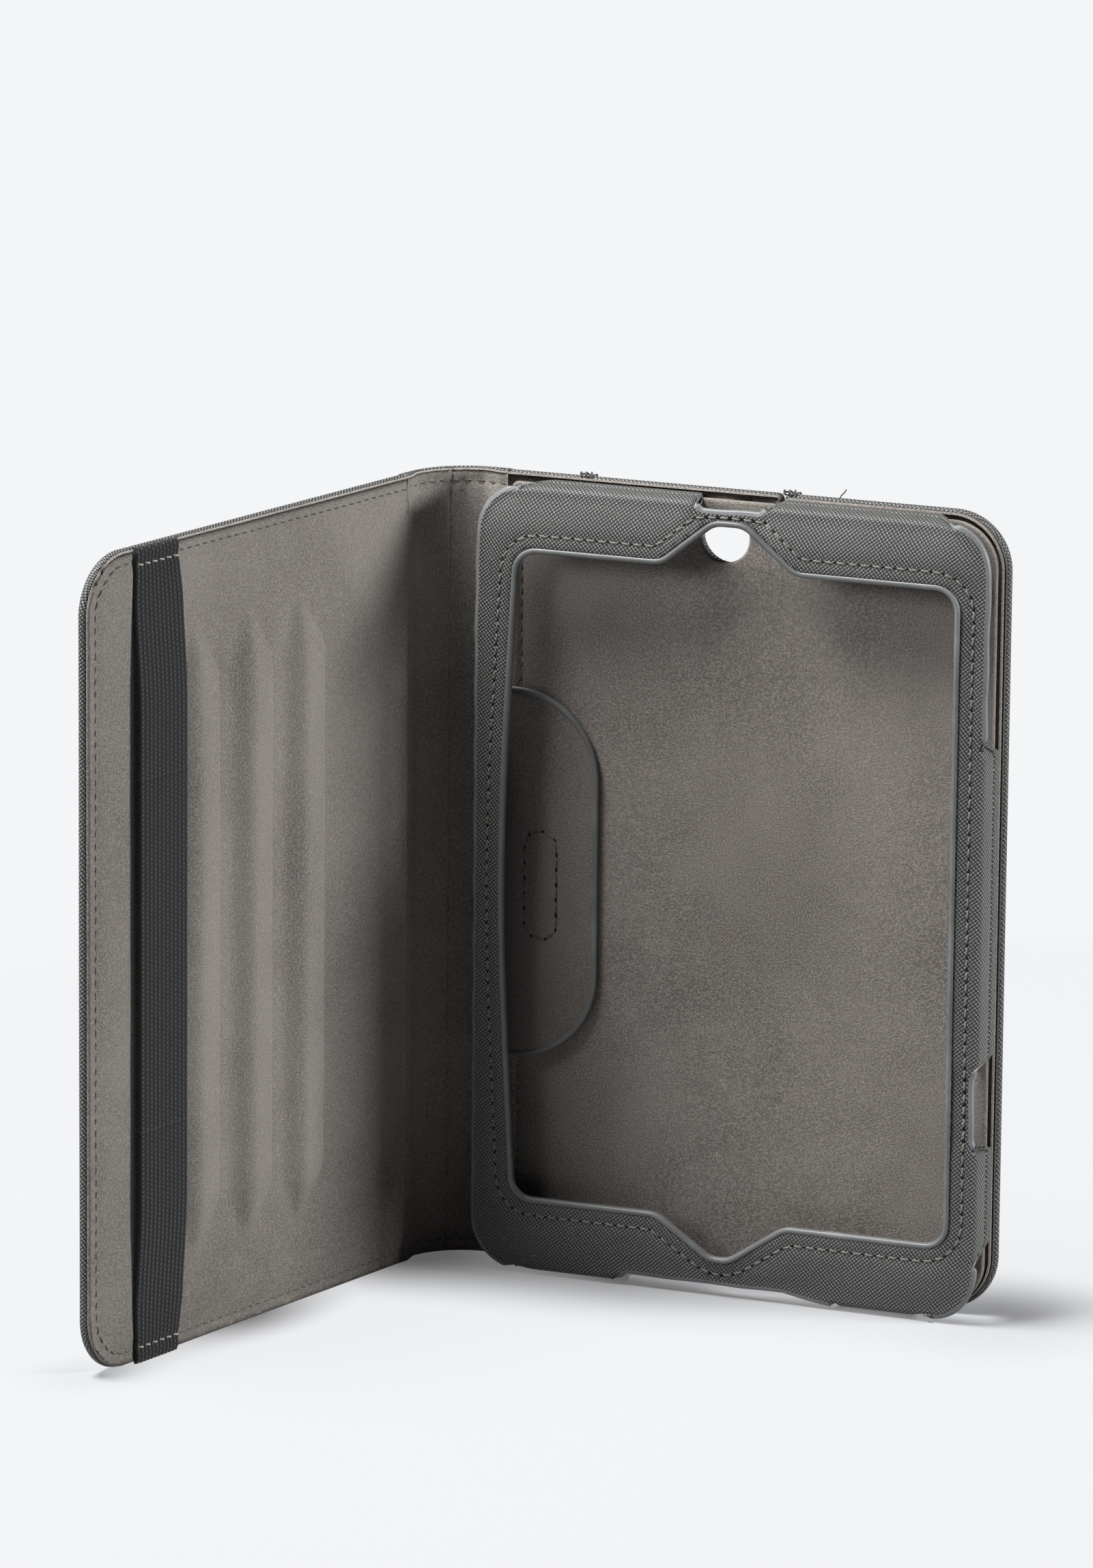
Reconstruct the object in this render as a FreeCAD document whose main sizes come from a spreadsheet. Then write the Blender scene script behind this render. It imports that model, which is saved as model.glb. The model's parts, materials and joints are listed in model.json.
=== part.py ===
import FreeCAD, Part
import os
import re

import Sketcher

# Leather folio stand case for a small tablet, standing open on its lower edges.
# X runs to the right along the tablet holder, Y to the back, Z up. Millimetres.
# The origin is on the floor under the middle of the holder, in mid-thickness of the back cover.

DIMENSIONS = {
    # Covers: height, layers, corners and folds
    "cover_height": 209.0,
    "cover_length": 139.5,
    "cover_corner": 15.0,
    "leather": 1.0,
    "cover_board": 1.6,
    "cover_suede": 0.8,
    "board_margin": 5.0,
    "suede_inset": 0.4,
    "fold_gap": 0.1,
    "fold_bevel": 30.0,
    "leg_fold": -70.5,
    "stand_fold": 9.3,
    "cover_right": 70.5,
    "rest_turn": 76.0,
    "closing_play": 0.6,
    # Holder: tablet bay and the layers round it
    "bay_width": 136.4,
    "bay_height": 205.0,
    "bay_depth": 9.0,
    "stiffener": 0.4,
    "frame_suede": 0.5,
    "frame_corner": 13.0,
    "rim_depth": 2.4,
    "rim_round": 1.9,
    "rim_clear": 1.0,
    "holder_suede": 0.8,
    "holder_board": 1.0,
    "holder_left": -63.2,
    "flange_leather": 0.9,
    "flange_reach": 9.0,
    "top_reach": 3.4,
    "flange_round": 1.2,
    "seam_gap": 0.3,
    # Window with its camera bump and button notch
    "window_half": 61.5,
    "window_left": 57.7,
    "window_bow": 62.3,
    "bow_round": 700.0,
    "window_low": 20.2,
    "window_high": 191.7,
    "window_corner": 6.0,
    "notch_half": 17.7,
    "notch_flat": 2.6,
    "notch_low": 10.0,
    "bump_half": 18.2,
    "bump_flat": 4.2,
    "bump_high": 203.0,
    "notch_round": 6.5,
    "edge_width": 0.7,
    "edge_proud": 0.15,
    # Port cut-outs in the border, and the runs of the side tabs between them
    "port_left": -26.0,
    "port_right": 17.0,
    "port_rise": 3.2,
    "port_slope_left": 2.4,
    "port_slope_right": 14.0,
    "jack_left": -8.6,
    "jack_right": 7.4,
    "jack_fall": 2.2,
    "jack_slope": 1.6,
    "tab_end_left": -53.0,
    "bottom_tab_left_end": -28.4,
    "bottom_tab_right_start": 31.0,
    "bottom_tab_right_end": 51.8,
    "top_tab_left_end": -9.6,
    "top_tab_right_start": 8.6,
    "top_tab_right_end": 53.0,
    "right_tab_low": 20.0,
    "right_tab_low_end": 45.4,
    "right_tab_high": 68.6,
    "right_tab_high_end": 149.0,
    # Camera holes through the back panel and the back cover
    "mid_hole_x": -5.0,
    "mid_hole_z": 197.3,
    "mid_hole_radius": 6.6,
    "lens_hole_x": 51.0,
    "lens_hole_z": 196.0,
    "lens_hole_radius": 6.0,
    "cover_hole_extra": 0.8,
    # Tuck-in tab and its hook-and-loop fastening
    "tab_leather": 0.8,
    "tab_suede": 0.5,
    "tab_play": 0.3,
    "tab_root": -67.4,
    "tab_tip": -38.2,
    "tab_low": 56.0,
    "tab_high": 153.5,
    "tab_corner": 23.0,
    "tab_suede_inset": 0.8,
    "strap_thick": 0.8,
    "strap_back_gap": 1.6,
    "patch_left": -58.2,
    "patch_width": 8.8,
    "patch_low": 87.7,
    "patch_height": 28.4,
    "patch_chamfer": 2.4,
    "patch_deep": 0.5,
    # Stop ridges and elastic band on the front cover
    "ridge_first": 40.3,
    "ridge_pitch": 21.8,
    "ridge_width": 12.8,
    "ridge_crest": 3.4,
    "ridge_height": 2.0,
    "ridge_low": 24.0,
    "ridge_length": 160.0,
    "ridge_point": 11.0,
    "band_edge": 21.5,
    "band_width": 19.5,
    "band_thick": 1.1,
    "band_gap": 0.2,
    "band_end": 0.4,
    "tack_height": 9.0,
}

DERIVED = {
    "panel_thick": "leather + cover_board + cover_suede",
    "outer_face": "leather + (cover_board + cover_suede)/2",
    "leg_inner": "outer_face - panel_thick",
    "flange_back": "leg_inner - seam_gap",
    "flange_front": "flange_back - flange_leather",
    "board_front": "flange_front - holder_board",
    "panel_front": "board_front - holder_suede",
    "bay_front": "panel_front - bay_depth",
    "lining_front": "bay_front - frame_suede",
    "stiffener_front": "lining_front - stiffener",
    "frame_front": "stiffener_front - leather",
    "rim_back": "frame_front + rim_depth",
    "frame_half": "bay_width/2 + leather",
    "frame_low": "(cover_height - bay_height)/2 - leather",
    "frame_high": "(cover_height + bay_height)/2 + leather",
    "bevel_rate": "tan(fold_bevel)",
    "leg_width": "stand_fold - leg_fold",
    "rest_width": "cover_right - stand_fold",
    "spine_chord": "leg_inner - frame_front + band_thick + band_gap + closing_play + 2*panel_thick",
    "spine_radius": "spine_chord/(2*sin(rest_turn/2))",
    "cover_x": "leg_fold - spine_chord*cos(rest_turn/2)",
    "cover_y": "outer_face - spine_chord*sin(rest_turn/2)",
    "window_middle": "(window_low + window_high)/2",
    "notch_rate": "tan(atan((window_low - notch_low)/(notch_half - notch_flat))/2)",
    "bump_rate": "tan(atan((bump_high - window_high)/(bump_half - bump_flat))/2)",
    "tab_back": "panel_front - tab_play",
    "tab_front": "tab_back - tab_leather - tab_suede",
    "band_out": "cover_length - band_edge",
    "band_in": "band_out - band_width",
}

doc = FreeCAD.newDocument("folio_case")
sheet = doc.addObject("Spreadsheet::Sheet", "Dims")
for row, (alias, size) in enumerate(DIMENSIONS.items(), start=1):
    sheet.set("A%d" % row, alias)
    sheet.set("B%d" % row, str(size))
    sheet.setAlias("B%d" % row, alias)
doc.recompute()


def ex(text):
    """Spell out an expression in the sheet's own cells."""
    def spell(match):
        word = match.group(0)
        if word in DIMENSIONS:
            return "Dims." + word
        if word in DERIVED:
            return "(" + ex(DERIVED[word]) + ")"
        return word
    return re.sub(r"[a-z_]+", spell, str(text))


def size_of(text):
    """Present value of an expression."""
    return float(sheet.evalExpression(ex(text)))


sub_parts = []


def new_body(label, x="0", y="0", turn="0"):
    """Start a sub-part whose own frame stands at x, y and is turned about Z."""
    body = doc.addObject("PartDesign::Body", label)
    body.Label = label
    body.setExpression("Placement.Base.x", ex(x))
    body.setExpression("Placement.Base.y", ex(y))
    body.setExpression("Placement.Rotation.Angle", ex(turn))
    sub_parts.append(body)
    return body


def origin_feature(body, role):
    return next(item for item in body.Origin.OriginFeatures if item.Role == role)


def new_sketch(body, plane, at):
    """Sketch on one of the body's origin planes, moved to a place on that plane's axis."""
    sketch = body.newObject("Sketcher::SketchObject", body.Name + "_sketch")
    sketch.AttachmentSupport = [(origin_feature(body, plane + "_Plane"), "")]
    sketch.MapMode = "FlatFace"
    # The XZ plane faces the front, so a place on the Y axis counts backwards there.
    sign = "-" if plane == "XZ" else ""
    sketch.setExpression("AttachmentOffset.Base.z", sign + "(" + ex(at) + ")")
    return sketch


def add_outline(sketch, points):
    """Closed outline through points, each bound to the sheet."""
    first = sketch.GeometryCount
    count = len(points)
    corners = [FreeCAD.Vector(size_of(u), size_of(v), 0) for u, v in points]
    for index in range(count):
        line = Part.LineSegment(corners[index], corners[(index + 1) % count])
        sketch.addGeometry(line, False)
    for index in range(count):
        following = first + (index + 1) % count
        sketch.addConstraint(Sketcher.Constraint("Coincident", first + index, 2, following, 1))
    for index, (point, corner) in enumerate(zip(points, corners)):
        for kind, text, value in zip(("DistanceX", "DistanceY"), point, (corner.x, corner.y)):
            place = sketch.addConstraint(Sketcher.Constraint(kind, -1, 1, first + index, 1, value))
            sketch.setExpression("Constraints[%d]" % place, ex(text))


def outline(body, plane, at, *outlines):
    sketch = new_sketch(body, plane, at)
    for points in outlines:
        add_outline(sketch, points)
    return sketch


def rectangle(left, right, low, high):
    return [(left, low), (right, low), (right, high), (left, high)]


def pad(body, sketch, length, to_back=False):
    feature = body.newObject("PartDesign::Pad", body.Name + "_pad")
    feature.Profile = sketch
    feature.setExpression("Length", ex(length))
    feature.Reversed = to_back
    doc.recompute()
    return feature


def pocket(body, sketch, length, to_front=False):
    """Cut to the back from an XZ sketch, or to the front of it."""
    before = body.Shape.Volume
    feature = body.newObject("PartDesign::Pocket", body.Name + "_pocket")
    feature.Profile = sketch
    feature.setExpression("Length", ex(length))
    feature.Reversed = to_front
    doc.recompute()
    if body.Shape.Volume >= before:
        raise RuntimeError("a pocket of %s cuts nothing" % body.Label)
    return feature


def drill(body, x, z, radius, at, length):
    """Round hole to the back, from an XZ sketch."""
    sketch = new_sketch(body, "XZ", at)
    centre = FreeCAD.Vector(size_of(x), size_of(z), 0)
    circle = Part.Circle(centre, FreeCAD.Vector(0, 0, 1), size_of(radius))
    sketch.addGeometry(circle, False)
    constraints = (
        (("DistanceX", -1, 1, 0, 3, centre.x), x),
        (("DistanceY", -1, 1, 0, 3, centre.y), z),
        (("Radius", 0, size_of(radius)), radius),
    )
    for terms, text in constraints:
        place = sketch.addConstraint(Sketcher.Constraint(*terms))
        sketch.setExpression("Constraints[%d]" % place, ex(text))
    return pocket(body, sketch, length)


def edges_through(shape, along, corners):
    """Names of the straight edges along an axis that stand on the given corners of the other two."""
    others = [axis for axis in "xyz" if axis != along]
    places = [tuple(size_of(text) for text in corner) for corner in corners]
    names = []
    for number, edge in enumerate(shape.Edges, start=1):
        middle = edge.CenterOfMass
        ends = edge.Vertexes[0].Point, edge.Vertexes[-1].Point
        if any(abs(getattr(ends[0] - ends[1], axis)) > 1e-4 for axis in others):
            continue
        spot = [getattr(middle, axis) for axis in others]
        if any(abs(spot[0] - u) + abs(spot[1] - v) < 0.01 for u, v in places):
            names.append("Edge%d" % number)
    return names


def round_edges(body, names, radius):
    base = body.Tip
    feature = body.newObject("PartDesign::Fillet", body.Name + "_round")
    feature.Base = (base, names)
    feature.setExpression("Radius", ex(radius))
    doc.recompute()
    return feature


def round_corners(body, along, corners, radius):
    names = edges_through(body.Tip.Shape, along, corners)
    if len(names) < len(corners):
        raise RuntimeError("%s has %d of %d corners" % (body.Label, len(names), len(corners)))
    return round_edges(body, names, radius)


def hollow_from_back(body, wall, back):
    """Leave an even wall behind the outside, open at the flat back face."""
    base = body.Tip
    level = size_of(back)
    open_face = next(
        "Face%d" % number
        for number, face in enumerate(base.Shape.Faces, start=1)
        if abs(face.BoundBox.YMin - level) < 0.01
    )
    feature = body.newObject("PartDesign::Thickness", body.Name + "_wall")
    feature.Base = (base, [open_face])
    feature.setExpression("Value", ex(wall))
    feature.Reversed = True
    doc.recompute()
    if body.Shape.Volume >= base.Shape.Volume:
        raise RuntimeError("%s is not hollow" % body.Label)


# Window outline, counter-clockwise from the lower left corner, and its rounding.

def window_outline(inset="0"):
    notch = "(%s)*notch_rate" % inset
    bump = "(%s)*bump_rate" % inset
    low = "window_low + (%s)" % inset
    high = "window_high - (%s)" % inset
    left = "-window_left + (%s)" % inset
    right = "window_half - (%s)" % inset
    notch_bottom = "notch_low + (%s)" % inset
    bump_top = "bump_high - (%s)" % inset
    return [
        (left, low),
        ("-notch_half + " + notch, low),
        ("-notch_flat + " + notch, notch_bottom),
        ("notch_flat - " + notch, notch_bottom),
        ("notch_half - " + notch, low),
        (right, low),
        (right, high),
        ("bump_half - " + bump, high),
        ("bump_flat - " + bump, bump_top),
        ("-bump_flat + " + bump, bump_top),
        ("-bump_half + " + bump, high),
        (left, high),
        ("-window_bow + (%s)" % inset, "window_middle"),
    ]


def round_window(body, inset="0"):
    points = window_outline(inset)
    outer_corners = [points[index] for index in (0, 5, 6, 11)]
    inner_bends = [points[index] for index in (2, 3, 8, 9)]
    outer_bends = [points[index] for index in (1, 4, 7, 10)]
    round_corners(body, "y", outer_corners, "window_corner - (%s)" % inset)
    round_corners(body, "y", inner_bends, "notch_round - (%s)" % inset)
    round_corners(body, "y", outer_bends, "notch_round + (%s)" % inset)
    round_corners(body, "y", points[12:], "bow_round")


# Holder: the front border of the frame.

def make_frame_leather():
    """Border with a rolled rim; the window and two port cut-outs go through it."""
    body = new_body("frame_leather")
    outer = rectangle("-frame_half", "frame_half", "frame_low", "frame_high")
    pad(body, outline(body, "XZ", "frame_front", outer), "rim_depth", to_back=True)
    round_corners(body, "y", outer, "frame_corner")
    front = size_of("frame_front")
    rim = [
        "Edge%d" % number
        for number, edge in enumerate(body.Tip.Shape.Edges, start=1)
        if abs(edge.BoundBox.YMin - front) < 0.01 and abs(edge.BoundBox.YMax - front) < 0.01
    ]
    round_edges(body, rim, "rim_round")
    hollow_from_back(body, "leather", "rim_back")
    pocket(body, outline(body, "XZ", "frame_front", window_outline()), "leather")
    round_window(body)
    ports = [
        ("port_left - port_slope_left", "frame_low - leather"),
        ("port_right + port_slope_right", "frame_low - leather"),
        ("port_right", "port_rise"),
        ("port_left", "port_rise"),
    ]
    jack = [
        ("jack_left - jack_slope", "frame_high + leather"),
        ("jack_left", "frame_high - jack_fall"),
        ("jack_right", "frame_high - jack_fall"),
        ("jack_right + jack_slope", "frame_high + leather"),
    ]
    pocket(body, outline(body, "XZ", "frame_front", ports, jack), "rim_depth")


def make_border_sheet(label, front, thick):
    """Flat sheet that lines the border behind the leather, clear of the rim's inner round."""
    body = new_body(label)
    side = "frame_half - leather - rim_clear"
    outer = rectangle("-(%s)" % side, side, "port_rise", "frame_high - jack_fall")
    pad(body, outline(body, "XZ", front, outer), thick, to_back=True)
    round_corners(body, "y", outer, "frame_corner - leather")
    pocket(body, outline(body, "XZ", front, window_outline()), thick)
    round_window(body)


def make_window_edge():
    """Painted bead that closes the cut edge of the border's three layers."""
    body = new_body("window_edge")
    front = "frame_front - edge_proud"
    depth = "bay_front - frame_front + 2*edge_proud"
    pad(body, outline(body, "XZ", front, window_outline()), depth, to_back=True)
    pocket(body, outline(body, "XZ", front, window_outline("edge_width")), depth)
    round_window(body, "edge_width")
    round_window(body)


# Holder: side tabs that fold from the border round the tablet and are sewn down behind the board.

def tab_section(edge, inward, reach):
    """L section as (distance across the wall, Y) pairs, from the rim to the flange's free edge."""
    skin = "%s + %s*leather" % (edge, inward)
    free = "%s + %s*%s" % (edge, inward, reach)
    return [
        (edge, "rim_back"),
        (edge, "flange_back"),
        (free, "flange_back"),
        (free, "flange_front"),
        (skin, "flange_front"),
        (skin, "rim_back"),
    ]


def make_level_tab(label, start, end):
    """Tab along the bottom or top of the holder; a top one stops short of the camera holes."""
    at_top = label.startswith("top")
    edge = "frame_high" if at_top else "frame_low"
    inward = "-1" if at_top else "1"
    reach = "top_reach" if at_top else "flange_reach"
    body = new_body(label)
    section = [(y, z) for z, y in tab_section(edge, inward, reach)]
    pad(body, outline(body, "YZ", start, section), "%s - (%s)" % (end, start))
    round_corners(body, "x", [("flange_back", edge)], "flange_round")


def make_upright_tab(label, start, end):
    """Tab along the right side of the holder."""
    body = new_body(label)
    section = tab_section("frame_half", "-1", "flange_reach")
    pad(body, outline(body, "XY", start, section), "%s - (%s)" % (end, start))
    round_corners(body, "z", [("frame_half", "flange_back")], "flange_round")


# Holder: back panel.

def patch_outline():
    """Oblong of the hook-and-loop patches, with cut corners."""
    left, right = "patch_left", "patch_left + patch_width"
    low, high = "patch_low", "patch_low + patch_height"
    return [
        (left + " + patch_chamfer", low),
        (right + " - patch_chamfer", low),
        (right, low + " + patch_chamfer"),
        (right, high + " - patch_chamfer"),
        (right + " - patch_chamfer", high),
        (left + " + patch_chamfer", high),
        (left, high + " - patch_chamfer"),
        (left, low + " + patch_chamfer"),
    ]


def make_back_sheet(label, front, thick):
    """One layer of the back panel, open at the two camera holes."""
    body = new_body(label)
    edges = rectangle("holder_left", "frame_half - leather", "frame_low + leather", "frame_high - leather")
    pad(body, outline(body, "XZ", front, edges), thick, to_back=True)
    round_corners(body, "y", edges[1:3], "frame_corner - leather")
    drill(body, "mid_hole_x", "mid_hole_z", "mid_hole_radius", front, thick)
    drill(body, "lens_hole_x", "lens_hole_z", "lens_hole_radius", front, thick)
    return body


def make_back_panel():
    lining = make_back_sheet("back_lining", "panel_front", "holder_suede")
    pocket(lining, outline(lining, "XZ", "panel_front", patch_outline()), "patch_deep")
    make_back_sheet("back_board", "board_front", "holder_board")
    loop_patch = new_body("loop_patch")
    oblong = outline(loop_patch, "XZ", "panel_front", patch_outline())
    pad(loop_patch, oblong, "patch_deep", to_back=True)


# Tuck-in tab on the open left side of the holder.

def make_tab():
    strap = new_body("tab_strap")
    sides = rectangle("-frame_half", "strap_thick - frame_half", "rim_back", "tab_back - strap_back_gap")
    pad(strap, outline(strap, "XY", "tab_low", sides), "tab_high - tab_low")

    leather = new_body("tab_leather")
    shape = rectangle("tab_root", "tab_tip", "tab_low", "tab_high")
    pad(leather, outline(leather, "XZ", "tab_back - tab_leather", shape), "tab_leather", to_back=True)
    round_corners(leather, "y", shape[1:3], "tab_corner")
    recess = outline(leather, "XZ", "tab_back", patch_outline())
    pocket(leather, recess, "patch_deep", to_front=True)

    lining = new_body("tab_lining")
    inset = "tab_suede_inset"
    shape = rectangle("tab_root", "tab_tip - " + inset, "tab_low + " + inset, "tab_high - " + inset)
    pad(lining, outline(lining, "XZ", "tab_front", shape), "tab_suede", to_back=True)
    round_corners(lining, "y", shape[1:3], "tab_corner - " + inset)

    hook_patch = new_body("hook_patch")
    oblong = outline(hook_patch, "XZ", "tab_back - patch_deep", patch_outline())
    pad(hook_patch, oblong, "patch_deep", to_back=True)


# Covers: leather skin, board and suede lining. A panel's own frame has its outer face at Y 0,
# and X counts from its fold line.

def make_slab(label, place, near, far, top_depth, depth, bevel):
    """Layer between two depths; its near end leans back from the fold by the bevel."""
    body = new_body(label, *place)
    section = [
        ("%s*(fold_gap + %s*(%s))" % (near, bevel, top_depth), "-(%s)" % top_depth),
        (far, "-(%s)" % top_depth),
        (far, "-(%s)" % depth),
        ("%s*(fold_gap + %s*(%s))" % (near, bevel, depth), "-(%s)" % depth),
    ]
    pad(body, outline(body, "XY", "0", section), "cover_height")
    return body


def make_board(label, place, start, end):
    """Stiff board, set in from the edges, between the skin and the lining."""
    body = new_body(label, *place)
    shape = rectangle(start, end, "board_margin", "cover_height - board_margin")
    pad(body, outline(body, "XZ", "-leather - cover_board", shape), "cover_board", to_back=True)
    return body


def seat_board(body, start, end):
    """Bed for the board in the outer side of the lining."""
    shape = rectangle(start, end, "board_margin", "cover_height - board_margin")
    pocket(body, outline(body, "XZ", "-leather", shape), "cover_board", to_front=True)


def make_rest_panel():
    """Right part of the back cover, sewn to the holder."""
    place = ("stand_fold", "outer_face")
    free = [("rest_width", "0"), ("rest_width", "cover_height")]
    lens = ("lens_hole_x - stand_fold", "lens_hole_z", "lens_hole_radius + cover_hole_extra")
    board = ("board_margin", "rest_width - board_margin")
    skin = make_slab("rest_skin", place, "1", "rest_width", "0", "leather", "0")
    round_corners(skin, "y", free, "cover_corner")
    drill(skin, *lens, "-leather", "leather")
    lining = make_slab("rest_lining", place, "1", "rest_width", "leather", "panel_thick + seam_gap", "0")
    round_corners(lining, "y", free, "cover_corner")
    seat_board(lining, *board)
    drill(lining, *lens, "-panel_thick - seam_gap", "panel_thick + seam_gap")
    stiff = make_board("rest_board", place, *board)
    drill(stiff, *lens, "-leather - cover_board", "cover_board")


def make_leg():
    """Left part of the back cover, which swings out as the stand's leg."""
    place = ("leg_fold", "outer_face")
    hole = ("mid_hole_x - leg_fold", "mid_hole_z", "mid_hole_radius + cover_hole_extra")
    board = ("board_margin", "leg_width - board_margin")
    far = "leg_width - fold_gap"
    skin = make_slab("leg_skin", place, "1", far, "0", "leather", "bevel_rate")
    drill(skin, *hole, "-leather", "leather")
    lining = make_slab("leg_lining", place, "1", far, "leather", "panel_thick", "bevel_rate")
    seat_board(lining, *board)
    drill(lining, *hole, "-panel_thick", "panel_thick")
    stiff = make_board("leg_board", place, *board)
    drill(stiff, *hole, "-leather - cover_board", "cover_board")


def make_spine_layer(label, outer, thick, setback, lift):
    """Soft layer of the spine, bent evenly from the leg to the front cover."""
    trim = "((%s)/spine_radius*180/pi)" % setback
    body = new_body(label, "leg_fold", "outer_face - spine_radius", "90 + " + trim)
    section = rectangle("%s - %s" % (outer, thick), outer, lift, "cover_height - (%s)" % lift)
    sweep = body.newObject("PartDesign::Revolution", label + "_bend")
    sweep.Profile = outline(body, "XZ", "0", section)
    sweep.ReferenceAxis = (origin_feature(body, "Z_Axis"), [""])
    sweep.setExpression("Angle", ex("rest_turn - 2*" + trim))
    doc.recompute()


def make_spine():
    make_spine_layer("spine_skin", "spine_radius", "leather", "fold_gap + leather*bevel_rate", "0")
    lining_set = "fold_gap + 2*(leather + cover_suede)*bevel_rate"
    make_spine_layer("spine_lining", "spine_radius - leather", "cover_suede", lining_set, "suede_inset")


# Front cover. Its own frame is the leg's, carried on round the spine: X runs to minus, Y 0 is outside.

COVER_PLACE = ("cover_x", "cover_y", "rest_turn")


def make_front_cover():
    free = [("-cover_length", "0"), ("-cover_length", "cover_height")]
    skin = make_slab("cover_skin", COVER_PLACE, "-1", "-cover_length", "0", "leather", "bevel_rate")
    round_corners(skin, "y", free, "cover_corner")
    far = "suede_inset - cover_length"
    lining = make_slab("cover_lining", COVER_PLACE, "-1", far, "leather", "panel_thick", "bevel_rate")
    round_corners(lining, "y", [(far, "0"), (far, "cover_height")], "cover_corner - suede_inset")
    board = ("board_margin - cover_length", "-board_margin")
    seat_board(lining, *board)
    stiff = make_board("cover_board", COVER_PLACE, *board)
    board_corners = [(board[0], "board_margin"), (board[0], "cover_height - board_margin")]
    for body in (lining, stiff):
        round_corners(body, "y", board_corners, "cover_corner - board_margin")


def make_ridge(number):
    """Stop for the holder's lower edge: steep towards the spine, sloping to the free edge, pointed ends."""
    body = new_body("ridge_%d" % number, *COVER_PLACE)
    steep = "-(ridge_first + %d*ridge_pitch)" % (number - 1)
    section = [
        (steep, "-panel_thick"),
        (steep + " - ridge_width", "-panel_thick"),
        (steep + " - ridge_crest", "-panel_thick - ridge_height"),
        (steep + " - ridge_height/2", "-panel_thick - ridge_height"),
    ]
    pad(body, outline(body, "XY", "ridge_low", section), "ridge_length")
    crest = steep + " - ridge_crest"
    tail = steep + " - ridge_width"
    low, high = "ridge_low", "ridge_low + ridge_length"
    nips = [
        [(edge, end), (crest, end), (edge, "%s %s ridge_point" % (end, inward))]
        for edge in (steep, tail)
        for end, inward in ((low, "+"), (high, "-"))
    ]
    pocket(body, outline(body, "XZ", "-panel_thick - ridge_height", *nips), "ridge_height")


def make_band_piece(label, lift, low, high):
    body = new_body(label, *COVER_PLACE)
    shape = rectangle("-band_out", "-band_in", low, high)
    face = "-panel_thick - (%s) - band_thick" % lift
    pad(body, outline(body, "XZ", face, shape), "band_thick", to_back=True)


def make_band():
    """Elastic band: tacked down at the cover's lower and upper edges, free between them."""
    make_band_piece("band_tack_bottom", "0", "band_end", "tack_height")
    make_band_piece("band_tack_top", "0", "cover_height - tack_height", "cover_height - band_end")
    make_band_piece("elastic_band", "band_gap", "tack_height", "cover_height - tack_height")


def export_parts():
    """Check every object, then write one file for each sub-part."""
    doc.recompute()
    for item in doc.Objects:
        if "Invalid" in item.State or "Error" in item.State:
            raise RuntimeError("%s has failed" % item.Label)
    for body in sub_parts:
        if body.Shape.isNull() or not body.Shape.isValid() or len(body.Shape.Solids) != 1:
            raise RuntimeError("%s is not one sound solid" % body.Label)
    os.makedirs("parts", exist_ok=True)
    for body in sub_parts:
        body.Shape.exportStep(os.path.join("parts", body.Label + ".step"))


make_frame_leather()
make_border_sheet("frame_stiffener", "stiffener_front", "stiffener")
make_border_sheet("frame_lining", "lining_front", "frame_suede")
make_window_edge()
make_level_tab("bottom_tab_left", "tab_end_left", "bottom_tab_left_end")
make_level_tab("bottom_tab_right", "bottom_tab_right_start", "bottom_tab_right_end")
make_level_tab("top_tab_left", "tab_end_left", "top_tab_left_end")
make_level_tab("top_tab_right", "top_tab_right_start", "top_tab_right_end")
make_upright_tab("right_tab_lower", "right_tab_low", "right_tab_low_end")
make_upright_tab("right_tab_upper", "right_tab_high", "right_tab_high_end")
make_back_panel()
make_tab()
make_rest_panel()
make_leg()
make_spine()
make_front_cover()
for ridge_number in (1, 2, 3):
    make_ridge(ridge_number)
make_band()
export_parts()
print("%d sub-parts" % len(sub_parts))
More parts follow.
